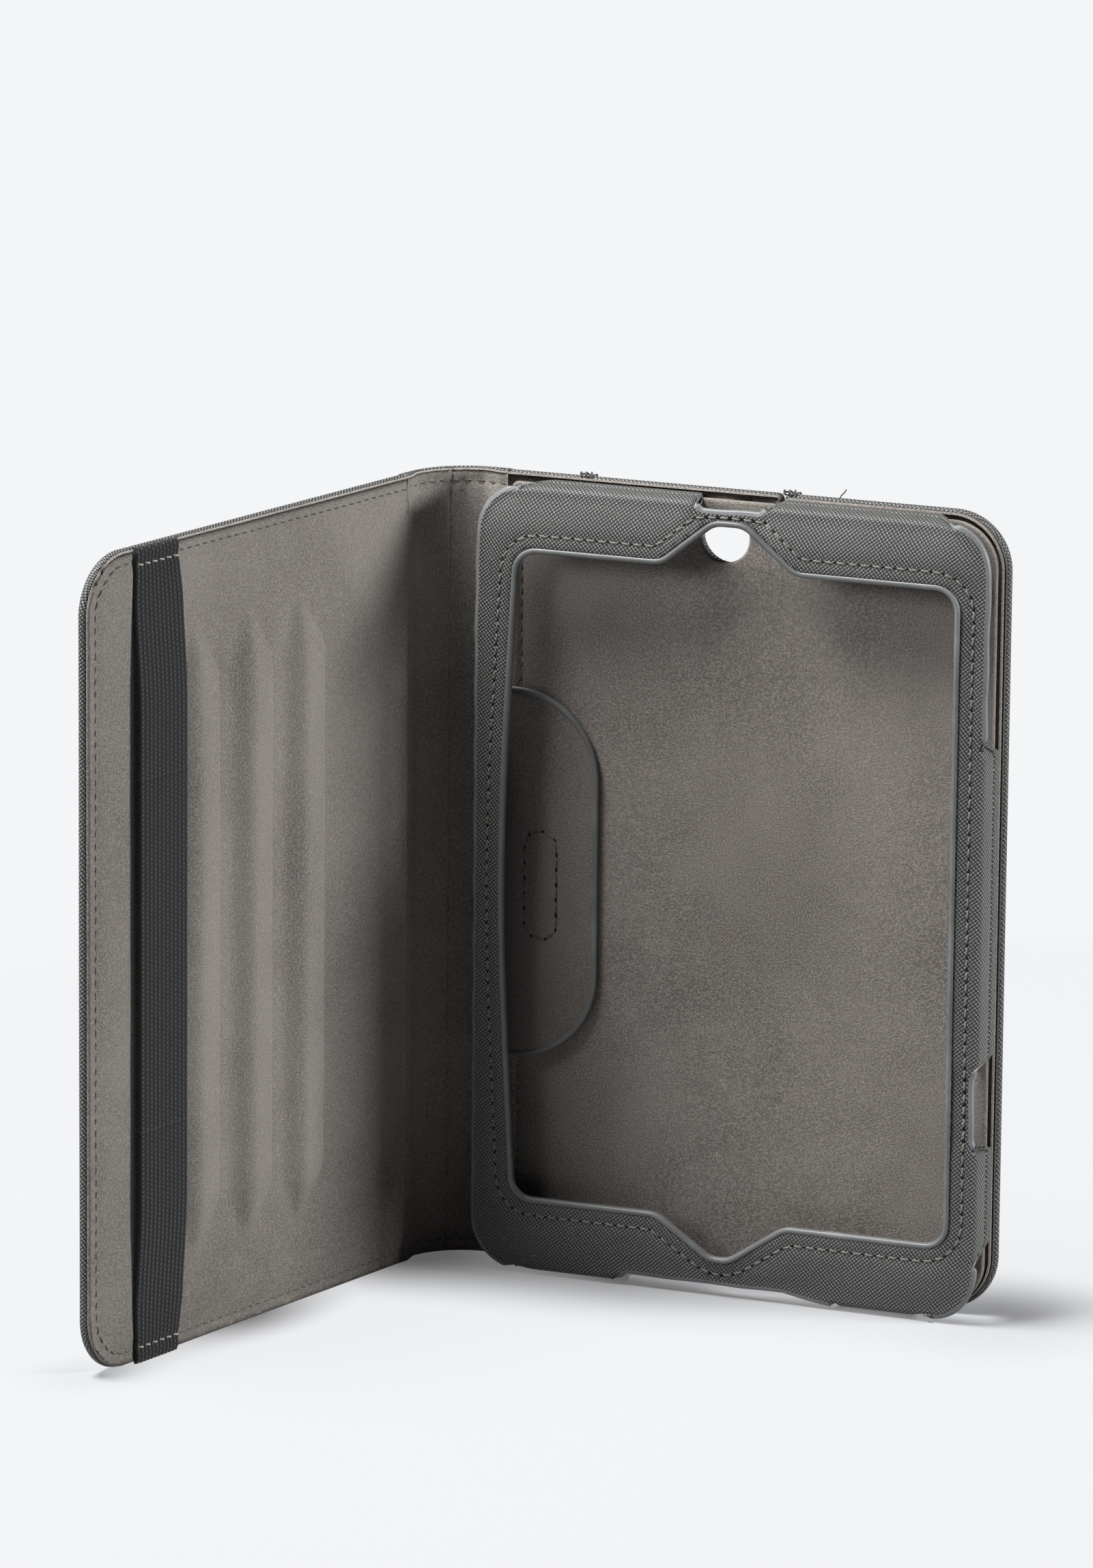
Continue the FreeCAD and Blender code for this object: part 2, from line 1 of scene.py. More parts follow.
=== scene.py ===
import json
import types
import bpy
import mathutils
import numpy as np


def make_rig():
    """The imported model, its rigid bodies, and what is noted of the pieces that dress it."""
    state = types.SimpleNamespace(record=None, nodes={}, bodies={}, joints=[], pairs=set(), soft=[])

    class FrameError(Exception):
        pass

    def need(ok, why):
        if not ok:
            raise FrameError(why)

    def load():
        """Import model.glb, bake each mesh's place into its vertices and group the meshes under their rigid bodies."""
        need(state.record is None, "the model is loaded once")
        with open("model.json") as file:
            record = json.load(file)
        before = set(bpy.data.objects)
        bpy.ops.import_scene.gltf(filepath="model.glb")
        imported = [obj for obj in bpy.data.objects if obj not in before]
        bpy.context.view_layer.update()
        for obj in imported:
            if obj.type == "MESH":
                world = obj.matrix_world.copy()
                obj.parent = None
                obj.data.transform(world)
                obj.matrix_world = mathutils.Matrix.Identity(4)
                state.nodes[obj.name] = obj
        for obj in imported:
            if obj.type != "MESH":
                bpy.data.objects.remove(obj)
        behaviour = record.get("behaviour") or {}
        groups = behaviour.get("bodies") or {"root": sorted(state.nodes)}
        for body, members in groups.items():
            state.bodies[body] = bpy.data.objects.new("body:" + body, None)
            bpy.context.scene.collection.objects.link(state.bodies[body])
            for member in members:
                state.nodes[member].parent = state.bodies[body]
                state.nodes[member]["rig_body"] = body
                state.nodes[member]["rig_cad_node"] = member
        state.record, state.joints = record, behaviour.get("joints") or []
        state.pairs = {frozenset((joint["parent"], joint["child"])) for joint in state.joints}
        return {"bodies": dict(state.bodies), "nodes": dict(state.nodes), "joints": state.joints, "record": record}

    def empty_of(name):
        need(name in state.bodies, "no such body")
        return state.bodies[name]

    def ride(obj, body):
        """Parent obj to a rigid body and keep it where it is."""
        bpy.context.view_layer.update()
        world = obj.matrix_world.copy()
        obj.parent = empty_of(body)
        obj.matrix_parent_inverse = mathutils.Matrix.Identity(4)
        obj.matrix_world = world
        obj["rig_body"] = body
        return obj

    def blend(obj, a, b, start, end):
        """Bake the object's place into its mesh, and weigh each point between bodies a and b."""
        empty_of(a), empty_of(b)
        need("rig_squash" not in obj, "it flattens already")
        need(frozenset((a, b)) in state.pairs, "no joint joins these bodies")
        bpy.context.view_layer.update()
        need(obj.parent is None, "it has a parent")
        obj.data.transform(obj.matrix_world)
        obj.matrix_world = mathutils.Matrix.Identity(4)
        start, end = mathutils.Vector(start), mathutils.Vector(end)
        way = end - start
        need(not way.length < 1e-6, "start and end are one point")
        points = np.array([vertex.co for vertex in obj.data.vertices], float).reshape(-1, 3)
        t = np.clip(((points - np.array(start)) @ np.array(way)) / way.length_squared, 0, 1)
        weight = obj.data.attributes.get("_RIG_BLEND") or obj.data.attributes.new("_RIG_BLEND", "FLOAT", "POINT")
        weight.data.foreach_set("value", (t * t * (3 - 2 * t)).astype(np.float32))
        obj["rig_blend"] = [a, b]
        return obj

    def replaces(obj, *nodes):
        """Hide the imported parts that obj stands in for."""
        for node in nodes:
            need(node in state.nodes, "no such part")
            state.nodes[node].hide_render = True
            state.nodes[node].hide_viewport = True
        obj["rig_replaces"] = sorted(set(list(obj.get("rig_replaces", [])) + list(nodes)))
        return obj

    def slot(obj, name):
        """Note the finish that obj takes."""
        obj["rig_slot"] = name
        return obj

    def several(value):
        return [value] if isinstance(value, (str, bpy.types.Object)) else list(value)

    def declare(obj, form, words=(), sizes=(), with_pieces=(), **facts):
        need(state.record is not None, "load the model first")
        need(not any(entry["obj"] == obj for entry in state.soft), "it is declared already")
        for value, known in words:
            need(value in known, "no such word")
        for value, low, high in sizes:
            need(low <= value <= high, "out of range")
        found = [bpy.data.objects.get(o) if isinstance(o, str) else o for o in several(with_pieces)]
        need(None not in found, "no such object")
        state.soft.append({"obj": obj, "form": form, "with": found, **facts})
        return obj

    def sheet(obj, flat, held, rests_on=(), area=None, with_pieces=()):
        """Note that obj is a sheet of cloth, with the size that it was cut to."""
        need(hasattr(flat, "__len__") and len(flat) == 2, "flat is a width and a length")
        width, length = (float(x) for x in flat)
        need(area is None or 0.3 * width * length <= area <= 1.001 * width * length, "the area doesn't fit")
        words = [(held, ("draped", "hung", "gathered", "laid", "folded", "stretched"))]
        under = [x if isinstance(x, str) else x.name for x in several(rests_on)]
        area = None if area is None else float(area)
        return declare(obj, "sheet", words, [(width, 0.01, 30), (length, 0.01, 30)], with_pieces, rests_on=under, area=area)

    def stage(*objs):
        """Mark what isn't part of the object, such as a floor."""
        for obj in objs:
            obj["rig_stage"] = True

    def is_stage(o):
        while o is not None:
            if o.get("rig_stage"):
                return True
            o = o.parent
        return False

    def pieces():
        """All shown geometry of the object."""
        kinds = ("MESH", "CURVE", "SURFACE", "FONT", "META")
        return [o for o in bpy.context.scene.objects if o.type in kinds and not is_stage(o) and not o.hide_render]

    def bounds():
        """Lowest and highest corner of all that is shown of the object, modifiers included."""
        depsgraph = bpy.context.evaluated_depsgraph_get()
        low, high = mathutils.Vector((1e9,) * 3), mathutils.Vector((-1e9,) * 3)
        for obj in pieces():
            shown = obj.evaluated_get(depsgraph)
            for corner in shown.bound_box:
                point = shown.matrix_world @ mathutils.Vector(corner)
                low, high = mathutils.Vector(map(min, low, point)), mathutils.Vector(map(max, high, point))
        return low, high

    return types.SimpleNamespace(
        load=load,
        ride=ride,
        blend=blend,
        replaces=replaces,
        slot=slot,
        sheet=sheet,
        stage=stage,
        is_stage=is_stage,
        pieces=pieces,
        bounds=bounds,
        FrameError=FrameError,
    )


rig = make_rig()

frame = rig.load()
cad_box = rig.bounds()

import json
import math

import bpy
import numpy as np
from mathutils import Matrix, Vector
from mathutils.geometry import delaunay_2d_cdt

# Folio case: shapes are worked out in millimetres and stored in metres.
MM = 0.001

# Levels on the Y axis, from the outside of the back cover to the front of the holder.
OUTER_FACE = 2.2
PANEL_THICK = 3.4
FLANGE_BACK = -1.5
BOARD_BACK = -2.4
PANEL_FRONT = -4.2
TAB_BACK = -4.5
FRAME_FRONT = -15.1

# Covers.
COVER_HEIGHT = 209.0
COVER_LENGTH = 137.4
COVER_CORNER = 15.0
LEG_FOLD = -70.5
STAND_FOLD = 9.3
COVER_RIGHT = 70.5
SPINE_TURN = math.radians(76.0)
SPINE_CHORD = 22.6
SPINE_RADIUS = SPINE_CHORD / (2 * math.sin(SPINE_TURN / 2))
SPINE_LENGTH = SPINE_RADIUS * SPINE_TURN
SPINE_MIDDLE = SPINE_LENGTH / 2
FREE_EDGE = SPINE_LENGTH + COVER_LENGTH
FOLD_REACH = 5.0
SHELL_THICK = 2.5
SPINE_SHELL = 1.0
SPINE_THICK = 1.9

# Holder.
FRAME_HALF = 69.2
FRAME_LOW = 1.0
FRAME_HIGH = 208.0
FRAME_CORNER = 13.0
RIM_ROUND = 1.9
FLANGE_ROUND = 1.2
BORDER_THICK = 1.85
WALL_THICK = 1.0
RIM_DROP = 1.2
TOP_DROP = 1.1
RIM_SLOPE = 12.0
FREE_REACH = 1.8
FREE_ROUND = 6.0
HOLDER_LEFT = -63.2
LINING_SEAM = -60.3
MID_HOLE = (-5.0, 197.3, 6.6)
LENS_HOLE = (51.0, 196.0, 6.0)

# Elastic band and ridges on the front cover, counted from the cover's fold.
BAND_OUT = 118.0
BAND_IN = 98.5
BAND_THICK = 1.1
RIDGES = (41.7, 63.5, 85.3)
RIDGE_CREST = 9.5
RIDGE_TAIL = 17.0
RIDGE_HEIGHT = 3.0
RIDGE_LOW = 22.0
RIDGE_HIGH = 186.0
RIDGE_POINT = 16.0


# Finishes

class Socket:
    """Output of a node; sums on it add Math nodes to the same finish."""

    def __init__(self, finish, output):
        self.finish = finish
        self.output = output

    def sum(self, operation, *terms):
        return self.finish.node("ShaderNodeMath", {"operation": operation}, dict(enumerate(terms))).out()

    def fraction(self):
        return self.sum("FRACT", self)

    def larger(self, other):
        return self.sum("MAXIMUM", self, other)

    def wave(self):
        """Swings between 0 and 1, once in each whole turn."""
        return 0.5 + 0.5 * self.sum("SINE", self * math.tau)

    def between(self, low, high):
        """Smooth step from 0 at low to 1 at high."""
        settings = {"interpolation_type": "SMOOTHSTEP"}
        sockets = {"Value": self, "From Min": low, "From Max": high}
        return self.finish.node("ShaderNodeMapRange", settings, sockets).out()


def sum_with(operation, turned):
    """Sum of a socket and another term, or of the other term and the socket."""
    return lambda socket, other: socket.sum(operation, *((other, socket) if turned else (socket, other)))


for sign, operation in (("add", "ADD"), ("sub", "SUBTRACT"), ("mul", "MULTIPLY"), ("truediv", "DIVIDE")):
    setattr(Socket, "__%s__" % sign, sum_with(operation, False))
    setattr(Socket, "__r%s__" % sign, sum_with(operation, True))


class Node:
    def __init__(self, finish, node):
        self.finish = finish
        self.node = node

    def out(self, name=0):
        return Socket(self.finish, self.node.outputs[name])


class Finish:
    """One material and the nodes that make it."""

    def __init__(self, name):
        self.material = bpy.data.materials.new(name)
        self.material.use_nodes = True
        self.tree = self.material.node_tree
        self.shader = Node(self, self.tree.nodes["Principled BSDF"])

    def node(self, kind, settings=None, sockets=None):
        node = self.tree.nodes.new(kind)
        for name, value in (settings or {}).items():
            setattr(node, name, value)
        self.fill(node, sockets or {})
        return Node(self, node)

    def connect(self, socket, value):
        if isinstance(value, Socket):
            self.tree.links.new(value.output, socket)
        else:
            socket.default_value = value

    def fill(self, node, sockets):
        for name, value in sockets.items():
            self.connect(node.inputs[name], value)

    def surface(self, **sockets):
        """Set the shader's own sockets; an underscore stands for a space."""
        self.fill(self.shader.node, {name.replace("_", " "): value for name, value in sockets.items()})
        return self.material

    def place(self):
        return self.node("ShaderNodeTexCoord").out("Object")

    def unfolded(self):
        """Place on the flat hide or cloth before it was bent, in metres."""
        return self.node("ShaderNodeAttribute", {"attribute_name": "flat"}).out("Vector")

    def split(self, vector):
        """Parts of a vector along X, Y and Z."""
        node = self.node("ShaderNodeSeparateXYZ", None, {"Vector": vector})
        return [node.out(axis) for axis in "XYZ"]

    def vectors(self, operation, first, second=None, output="Vector"):
        sockets = {0: first}
        if second is not None:
            sockets["Scale" if operation == "SCALE" else 1] = second
        return self.node("ShaderNodeVectorMath", {"operation": operation}, sockets).out(output)

    def noise(self, vector, scale, detail=2.0, roughness=0.5):
        sockets = {"Vector": vector, "Scale": scale, "Detail": detail, "Roughness": roughness}
        return self.node("ShaderNodeTexNoise", None, sockets).out(0)

    def mix(self, share, low, high):
        """Colour between two colours."""
        node = self.node("ShaderNodeMix", {"data_type": "RGBA"}).node
        inputs = {socket.identifier: socket for socket in node.inputs}
        for name, value in (("Factor_Float", share), ("A_Color", low), ("B_Color", high)):
            self.connect(inputs[name], value)
        return Socket(self, next(item for item in node.outputs if item.identifier == "Result_Color"))

    def bump(self, height, depth, strength=1.0):
        sockets = {"Height": height, "Distance": depth, "Strength": strength}
        return self.node("ShaderNodeBump", None, sockets).out()


def colour(code):
    """Linear colour of a six-digit sRGB code."""
    parts = [int(code[i:i + 2], 16) / 255 for i in (0, 2, 4)]
    return tuple(v / 12.92 if v <= 0.04045 else ((v + 0.055) / 1.055) ** 2.4 for v in parts) + (1.0,)


def cross_grain_leather(name, dark, light):
    """Pressed leather with two sets of fine crossing lines; in patches one set or the other is deeper."""
    finish = Finish(name)
    flat = finish.unfolded()
    drift = finish.node("ShaderNodeTexNoise", None, {"Vector": flat, "Scale": 420.0, "Detail": 2.0}).out("Color")
    across, up, _ = finish.split(finish.vectors("ADD", flat, finish.vectors("SCALE", drift, 0.0004)))
    lead = finish.noise(flat, 75.0, 2.0).between(0.38, 0.62)
    first = ((across * 0.63 - up * 0.78) / 0.00076).wave().between(0.1, 0.75)
    second = ((across * 0.78 + up * 0.62) / 0.00084).wave().between(0.1, 0.75)
    crest = (first * (0.45 + 0.55 * lead) + second * (1 - 0.55 * lead)) * 0.69
    crest = crest * (0.4 + 0.6 * first) * (0.45 + 0.55 * second)
    patch = finish.noise(flat, 45.0, 3.0)
    speck = finish.noise(flat, 2200.0, 2.0)
    share = (crest * (0.45 + 1.1 * speck) * (0.75 + 0.5 * patch)).between(0.0, 1.0)
    return finish.surface(
        Base_Color=finish.mix(share, colour(dark), colour(light)),
        Roughness=0.6 - 0.14 * crest + 0.12 * (speck - 0.5),
        Normal=finish.bump(crest + 0.3 * speck, 0.00026, 0.85),
        Specular_IOR_Level=0.45,
    )


def suede(name, low, middle, high):
    """Brushed nap: broad soft patches where it lies different ways, over a fine salt-like grain."""
    finish = Finish(name)
    place = finish.place()
    patch = finish.noise(place, 17.0, 3.0, 0.5)
    stroke = finish.noise(place, 70.0, 3.0, 0.6)
    grain = finish.noise(place, 2200.0, 2.0, 0.6)
    fibre = finish.noise(place, 5600.0, 1.0)
    lay = (0.75 * patch + 0.25 * stroke).between(0.3, 0.7)
    ground = finish.mix(lay, colour(low), colour(middle))
    share = (grain * 0.7 + fibre * 0.3).between(0.4, 0.66)
    # Painted highlight: the ridge crests of the front cover are mixed towards the light colour, standing in for lit
    # crests.
    crest_highlight = finish.node("ShaderNodeAttribute", {"attribute_name": "crest_highlight"}).out("Fac")
    ground = finish.mix(crest_highlight * 0.2, ground, colour(high))
    return finish.surface(
        Base_Color=finish.mix(share * 0.8, ground, colour(high)),
        Roughness=0.97 - 0.06 * grain,
        Normal=finish.bump(grain + 0.5 * fibre, 0.0003, 0.7),
        Sheen_Weight=0.15,
        Sheen_Roughness=0.6,
        Sheen_Tint=colour("cfc8c0"),
        Specular_IOR_Level=0.2,
    )


def painted_edge(name, low, high):
    """Cut edges sealed with several coats of flexible paint."""
    finish = Finish(name)
    place = finish.place()
    coat = finish.noise(place, 160.0, 3.0)
    pore = finish.noise(place, 900.0, 2.0)
    worn = finish.noise(place, 55.0, 2.0).between(0.5, 0.75)
    share = 0.6 * coat + 0.4 * worn
    return finish.surface(
        Base_Color=finish.mix(share, colour(low), colour(high)),
        Roughness=0.36 + 0.2 * coat,
        Normal=finish.bump(0.7 * coat + 0.3 * pore, 0.00018, 0.5),
        Specular_IOR_Level=0.5,
    )


def knit_elastic(name):
    """Columns of knitted loops over dark rubber-cored yarn."""
    finish = Finish(name)
    across, up, _ = finish.split(finish.unfolded())
    column = across / 0.001625
    half_step = (column * 0.5).fraction().between(0.49, 0.51) * 0.5
    loop = (up / 0.00118 + half_step).wave()
    rib = (column - 0.25).wave()
    bead = (loop * rib).between(0.2, 0.85)
    fuzz = finish.noise(finish.unfolded(), 2600.0, 2.0)
    share = bead * (0.35 + 0.65 * fuzz)
    return finish.surface(
        Base_Color=finish.mix(share, colour("141414"), colour("434344")),
        Roughness=0.8 - 0.15 * bead,
        Normal=finish.bump(bead + 0.3 * fuzz, 0.00035, 0.8),
        Sheen_Weight=0.12,
        Specular_IOR_Level=0.35,
    )


def twisted_thread(name, low, high):
    """Sewing thread; its twist shows as slanting plies."""
    finish = Finish(name)
    across, up, _ = finish.split(finish.unfolded())
    ply = ((across + up) / 0.0006).wave()
    fuzz = finish.noise(finish.place(), 1800.0, 2.0)
    return finish.surface(
        Base_Color=finish.mix(ply * 0.6 + fuzz * 0.4, colour(low), colour(high)),
        Roughness=0.6 + 0.2 * fuzz,
        Normal=finish.bump(ply, 0.00012, 0.7),
        Sheen_Weight=0.2,
    )


def needle_shadow(name):
    """Painted shadow at the bottom of a needle hole in the leather."""
    finish = Finish(name)
    fleck = finish.noise(finish.place(), 1500.0, 2.0)
    return finish.surface(
        Base_Color=finish.mix(fleck, colour("101010"), colour("262524")),
        Roughness=0.85 + 0.1 * fleck,
        Normal=finish.bump(fleck, 0.0002),
        Specular_IOR_Level=0.1,
    )


def fastener_pile(name):
    """Hook-and-loop tape: rows of fine loops."""
    finish = Finish(name)
    place = finish.place()
    row = (finish.split(place)[2] / 0.0012).wave()
    tuft = finish.noise(place, 1100.0, 3.0, 0.7)
    share = (0.4 * row + 0.6 * tuft).between(0.25, 0.8)
    return finish.surface(
        Base_Color=finish.mix(share, colour("232221"), colour("5a5855")),
        Roughness=0.9 - 0.1 * tuft,
        Normal=finish.bump(share, 0.0006, 0.9),
        Sheen_Weight=0.25,
    )


def from_line(finish, place, start, end):
    """Distance of a place from the line between two points."""
    along = [b - a for a, b in zip(start, end)]
    size = sum(v * v for v in along)
    reach = finish.vectors("SUBTRACT", place, start)
    share = finish.vectors("DOT_PRODUCT", reach, along, "Value")
    foot = finish.vectors("SCALE", along, (share / size).between(0.0, 1.0))
    return finish.vectors("DISTANCE", reach, foot, "Value")


def studio_floor(name, tint, clear):
    """Pale paper: it takes the case's shadow close by, and is even where it runs off out of view."""
    finish = Finish(name)
    place = finish.place()
    near_cover = from_line(finish, place, (-0.088, -0.012, 0.0), (-0.121, -0.145, 0.0)).between(0.0, 0.4 * clear)
    near_holder = from_line(finish, place, (-0.088, -0.006, 0.0), (0.07, -0.006, 0.0)).between(0.006, clear)
    away = finish.vectors("LENGTH", place, output="Value").between(0.2, 0.4)
    even = (0.12 + 0.8 * (1 - (1 - near_cover).larger(1 - near_holder))).larger(away)
    path = finish.node("ShaderNodeLightPath")
    seen = path.out("Is Camera Ray").larger(path.out("Is Glossy Ray")).larger(path.out("Is Transmission Ray"))
    paper = finish.noise(place, 700.0, 2.0)
    finish.surface(
        Base_Color=finish.mix(paper, colour("9b9c9e"), colour("a3a4a6")),
        Roughness=0.9 + 0.05 * paper,
        Specular_IOR_Level=0.1,
    )
    glow = finish.node("ShaderNodeEmission", None, {"Color": colour(tint), "Strength": 1.0}).out()
    dull = finish.node("ShaderNodeBsdfDiffuse", None, {"Color": colour("7b7c7e")}).out()
    paper = finish.node("ShaderNodeMixShader", None, {0: even, 1: finish.shader.out(), 2: glow}).out()
    both = finish.node("ShaderNodeMixShader", None, {0: seen, 1: dull, 2: paper}).out()
    finish.tree.links.new(both.output, finish.tree.nodes["Material Output"].inputs["Surface"])
    return finish.material


LEATHER = cross_grain_leather("cross_grain_leather", "212221", "848582")
# Painted light: a lighter copy of the back lining's suede, made lighter for the well-lit front cover; the spine takes
# it too.
SUEDE_COVER_PAINTED_LIGHT = suede("suede_cover_painted_light", "5f5a56", "79746f", "9a958f")
SUEDE_BACK = suede("suede_back", "544f4b", "726d68", "938d87")
# Painted shade: a darker copy of the back lining's suede for the tab, which lies in the front cover's shade.
SUEDE_TAB_PAINTED_SHADE = suede("suede_tab_painted_shade", "524d4a", "5f5a56", "7a746f")
EDGE = painted_edge("painted_edge", "505151", "7a7b7b")
# Painted highlight: a lighter copy of the edge paint, for the border's cut edges that catch the light.
EDGE_PAINTED_HIGHLIGHT = painted_edge("edge_paint_painted_highlight", "5b5c5d", "868788")
# Painted shade: a darker copy of the edge paint, for the tab's edge, which lies in shade.
EDGE_PAINTED_SHADE = painted_edge("edge_paint_painted_shade", "464747", "6c6d6d")
ELASTIC = knit_elastic("knit_elastic")
THREAD = twisted_thread("olive_thread", "50504a", "8e8d82")
THREAD_DARK = twisted_thread("grey_thread", "2f2c2a", "55504c")
THREAD_LIGHT = twisted_thread("pale_thread", "8e8a84", "d6d2ca")
NEEDLE = needle_shadow("needle_shadow")
PILE = fastener_pile("fastener_pile")


# Shapes

# Longest step along the straight cut where two panels meet.
CUT_STEP = 3.0


def unit(vectors):
    return vectors / np.maximum(np.linalg.norm(vectors, axis=-1, keepdims=True), 1e-9)


def smooth(values, low, high):
    share = np.clip((values - low) / (high - low), 0, 1)
    return share * share * (3 - 2 * share)


def round_angles(count):
    return np.arange(count) * math.tau / count


def run_along(points):
    """Length along a chain up to each of its points."""
    return np.concatenate([[0], np.cumsum(np.linalg.norm(np.diff(points, axis=0), axis=1))])


def steps_between(start, end, step):
    """Points at even steps on a straight line, without its two ends."""
    pieces = max(1, math.ceil(np.linalg.norm(end - start) / step))
    return [start + (end - start) * k / pieces for k in range(1, pieces)]


def strip(near, far, closed=True, turned=False):
    """Four-sided faces between two rows of points."""
    after = np.roll(np.arange(len(near)), -1)
    spans = range(len(near) if closed else len(near) - 1)
    if turned:
        return [[near[k], far[k], far[after[k]], near[after[k]]] for k in spans]
    return [[near[k], near[after[k]], far[after[k]], far[k]] for k in spans]


def on_holder(level):
    """Place on a plane across the holder; w counts towards the front."""
    return lambda u, v, w: np.stack([u, level - w, v], -1)


def on_ribbon(u, v, w):
    """Place on the back cover, spine and front cover: u runs from the leg's fold round the spine to the free edge,
    and w counts inwards from the outer face."""
    u, v, w = np.broadcast_arrays(np.asarray(u, float), v, w)
    angle = np.clip(u, 0, SPINE_LENGTH) / SPINE_RADIUS
    inner = SPINE_RADIUS - w
    run = u - angle * SPINE_RADIUS
    x = LEG_FOLD - inner * np.sin(angle) - run * np.cos(angle)
    y = OUTER_FACE - SPINE_RADIUS + inner * np.cos(angle) - run * np.sin(angle)
    return np.stack([x, y, v], -1)


def rounded(corners, radii, step=0.8, closed=True):
    """Points along a polygon whose corners are rounded."""
    corners = np.array(corners, float)
    count = len(corners)
    runs = []
    for index, radius in enumerate(radii):
        corner = corners[index]
        if radius == 0 or (not closed and index in (0, count - 1)):
            runs.append(corner[None])
            continue
        back = unit(corners[index - 1] - corner)
        ahead = unit(corners[(index + 1) % count] - corner)
        half = math.acos(float(np.clip(back @ ahead, -1, 1))) / 2
        centre = corner + unit(back + ahead) * radius / math.sin(half)
        start = corner + back * radius / math.tan(half) - centre
        turn = math.pi - 2 * half
        if back[0] * ahead[1] - back[1] * ahead[0] > 0:
            turn = -turn
        angles = np.linspace(0, turn, max(3, math.ceil(abs(turn) * radius / step) + 1))
        spin = np.stack([np.cos(angles), np.sin(angles)], -1)
        runs.append(centre + np.stack([spin @ (start * (1, -1)), spin @ start[::-1]], -1))
    points = []
    for index, run in enumerate(runs):
        points.extend(run)
        if closed or index < count - 1:
            points.extend(steps_between(run[-1], runs[(index + 1) % count][0], step))
    return np.array(points)


def box_outline(left, low, right, high, radii, closed=True):
    """Outline of a box with rounded corners; an open one has no line from its last corner to its first."""
    return rounded([(left, low), (right, low), (right, high), (left, high)], radii, closed=closed)


def circle(x, z, radius, count=48):
    """Hole outline, clockwise."""
    angles = -round_angles(count)
    return np.stack([x + radius * np.cos(angles), z + radius * np.sin(angles)], -1)


def inward(chain, closed=True):
    """Unit normals to the left of a chain."""
    if closed:
        along = np.roll(chain, -1, 0) - np.roll(chain, 1, 0)
    else:
        along = np.gradient(chain, axis=0)
    along = unit(along)
    return np.stack([-along[:, 1], along[:, 0]], -1)


def resampled(points, pitch, closed=True):
    """Points at even steps along a chain, in any number of dimensions."""
    points = np.asarray(points, float)
    if closed:
        points = np.vstack([points, points[:1]])
    far = run_along(points)
    count = max(2, round(far[-1] / pitch))
    places = np.linspace(0, far[-1], count + 1)
    if closed:
        places = places[:-1]
    return np.stack([np.interp(places, far, points[:, axis]) for axis in range(points.shape[1])], -1)


def distance_to(points, chain):
    """Distance of each point from a dense chain of points."""
    result = np.empty(len(points))
    for start in range(0, len(points), 2000):
        block = points[start:start + 2000, None] - chain[None]
        result[start:start + 2000] = np.sqrt((block ** 2).sum(-1).min(1))
    return result


def inside(points, loop):
    x, y = points[:, 0, None], points[:, 1, None]
    a, b = loop, np.roll(loop, -1, 0)
    crosses = (a[:, 1] > y) != (b[:, 1] > y)
    with np.errstate(divide="ignore", invalid="ignore"):
        at = a[:, 0] + (y - a[:, 1]) / (b[:, 1] - a[:, 1]) * (b[:, 0] - a[:, 0])
    return (crosses & (x < at)).sum(1) % 2 == 1


def filled(loops, step, guides=None):
    """Triangles over an outline with holes: its points, then guide points, then even points between them."""
    edge = np.vstack(loops)
    low, high = edge.min(0), edge.max(0)
    rows = np.arange(low[1] + step / 2, high[1], step * 0.87)
    grid = []
    for k, row in enumerate(rows):
        across = np.arange(low[0] + step * (0.25 + 0.5 * (k % 2)), high[0], step)
        grid.append(np.stack([across, np.full_like(across, row)], -1))
    grid = np.vstack(grid)

    def within(spots):
        kept = inside(spots, loops[0])
        for hole in loops[1:]:
            kept &= ~inside(spots, hole)
        return kept

    grid = grid[within(grid)]
    if guides is not None:
        edge = np.vstack([edge, guides])
    grid = grid[distance_to(grid, edge) > 0.55 * step]
    points = np.vstack([edge, grid])
    links, start = [], 0
    for loop in loops:
        count = len(loop)
        links.extend((start + k, start + (k + 1) % count) for k in range(count))
        start += count
    found = delaunay_2d_cdt([Vector(p) for p in points], links, [], 0, 1e-5)
    source = np.array([item[0] for item in found[3]])
    faces = source[np.array(found[2])]
    return points, faces[within(points[faces].mean(1))].tolist()


def make_piece(name, points, faces, finish, flat=None, second=None, marks=None):
    """Mesh object from millimetre points. Faces at the marked places take the second finish."""
    mesh = bpy.data.meshes.new(name)
    mesh.from_pydata((np.asarray(points) * MM).tolist(), [], [list(face) for face in faces])
    mesh.materials.append(finish)
    if second is not None:
        mesh.materials.append(second)
        indices = np.zeros(len(mesh.polygons), np.int32)
        indices[list(marks)] = 1
        mesh.polygons.foreach_set("material_index", indices)
    mesh.polygons.foreach_set("use_smooth", np.ones(len(mesh.polygons), bool))
    if flat is not None:
        place = np.zeros((len(mesh.vertices), 3), np.float32)
        place[:, :np.shape(flat)[1]] = np.asarray(flat) * MM
        layer = mesh.attributes.new("flat", "FLOAT_VECTOR", "POINT")
        layer.data.foreach_set("vector", place.ravel())
    mesh.validate()
    mesh.update()
    piece = bpy.data.objects.new(name, mesh)
    bpy.context.scene.collection.objects.link(piece)
    return piece


def facing(points, faces, way):
    """Turn faces so that they look along a direction at each face's middle."""
    points = np.asarray(points)
    turned = []
    for face in faces:
        a, b, c = (points[face[k]] for k in (0, 1, 2))
        turned.append(face if np.cross(b - a, c - a) @ way > 0 else face[::-1])
    return turned


def square_cuts(piece, first):
    """Shade a piece's last faces, from the first cut on, as flat ends."""
    for face in list(piece.data.polygons)[first:]:
        face.use_smooth = False
    return piece


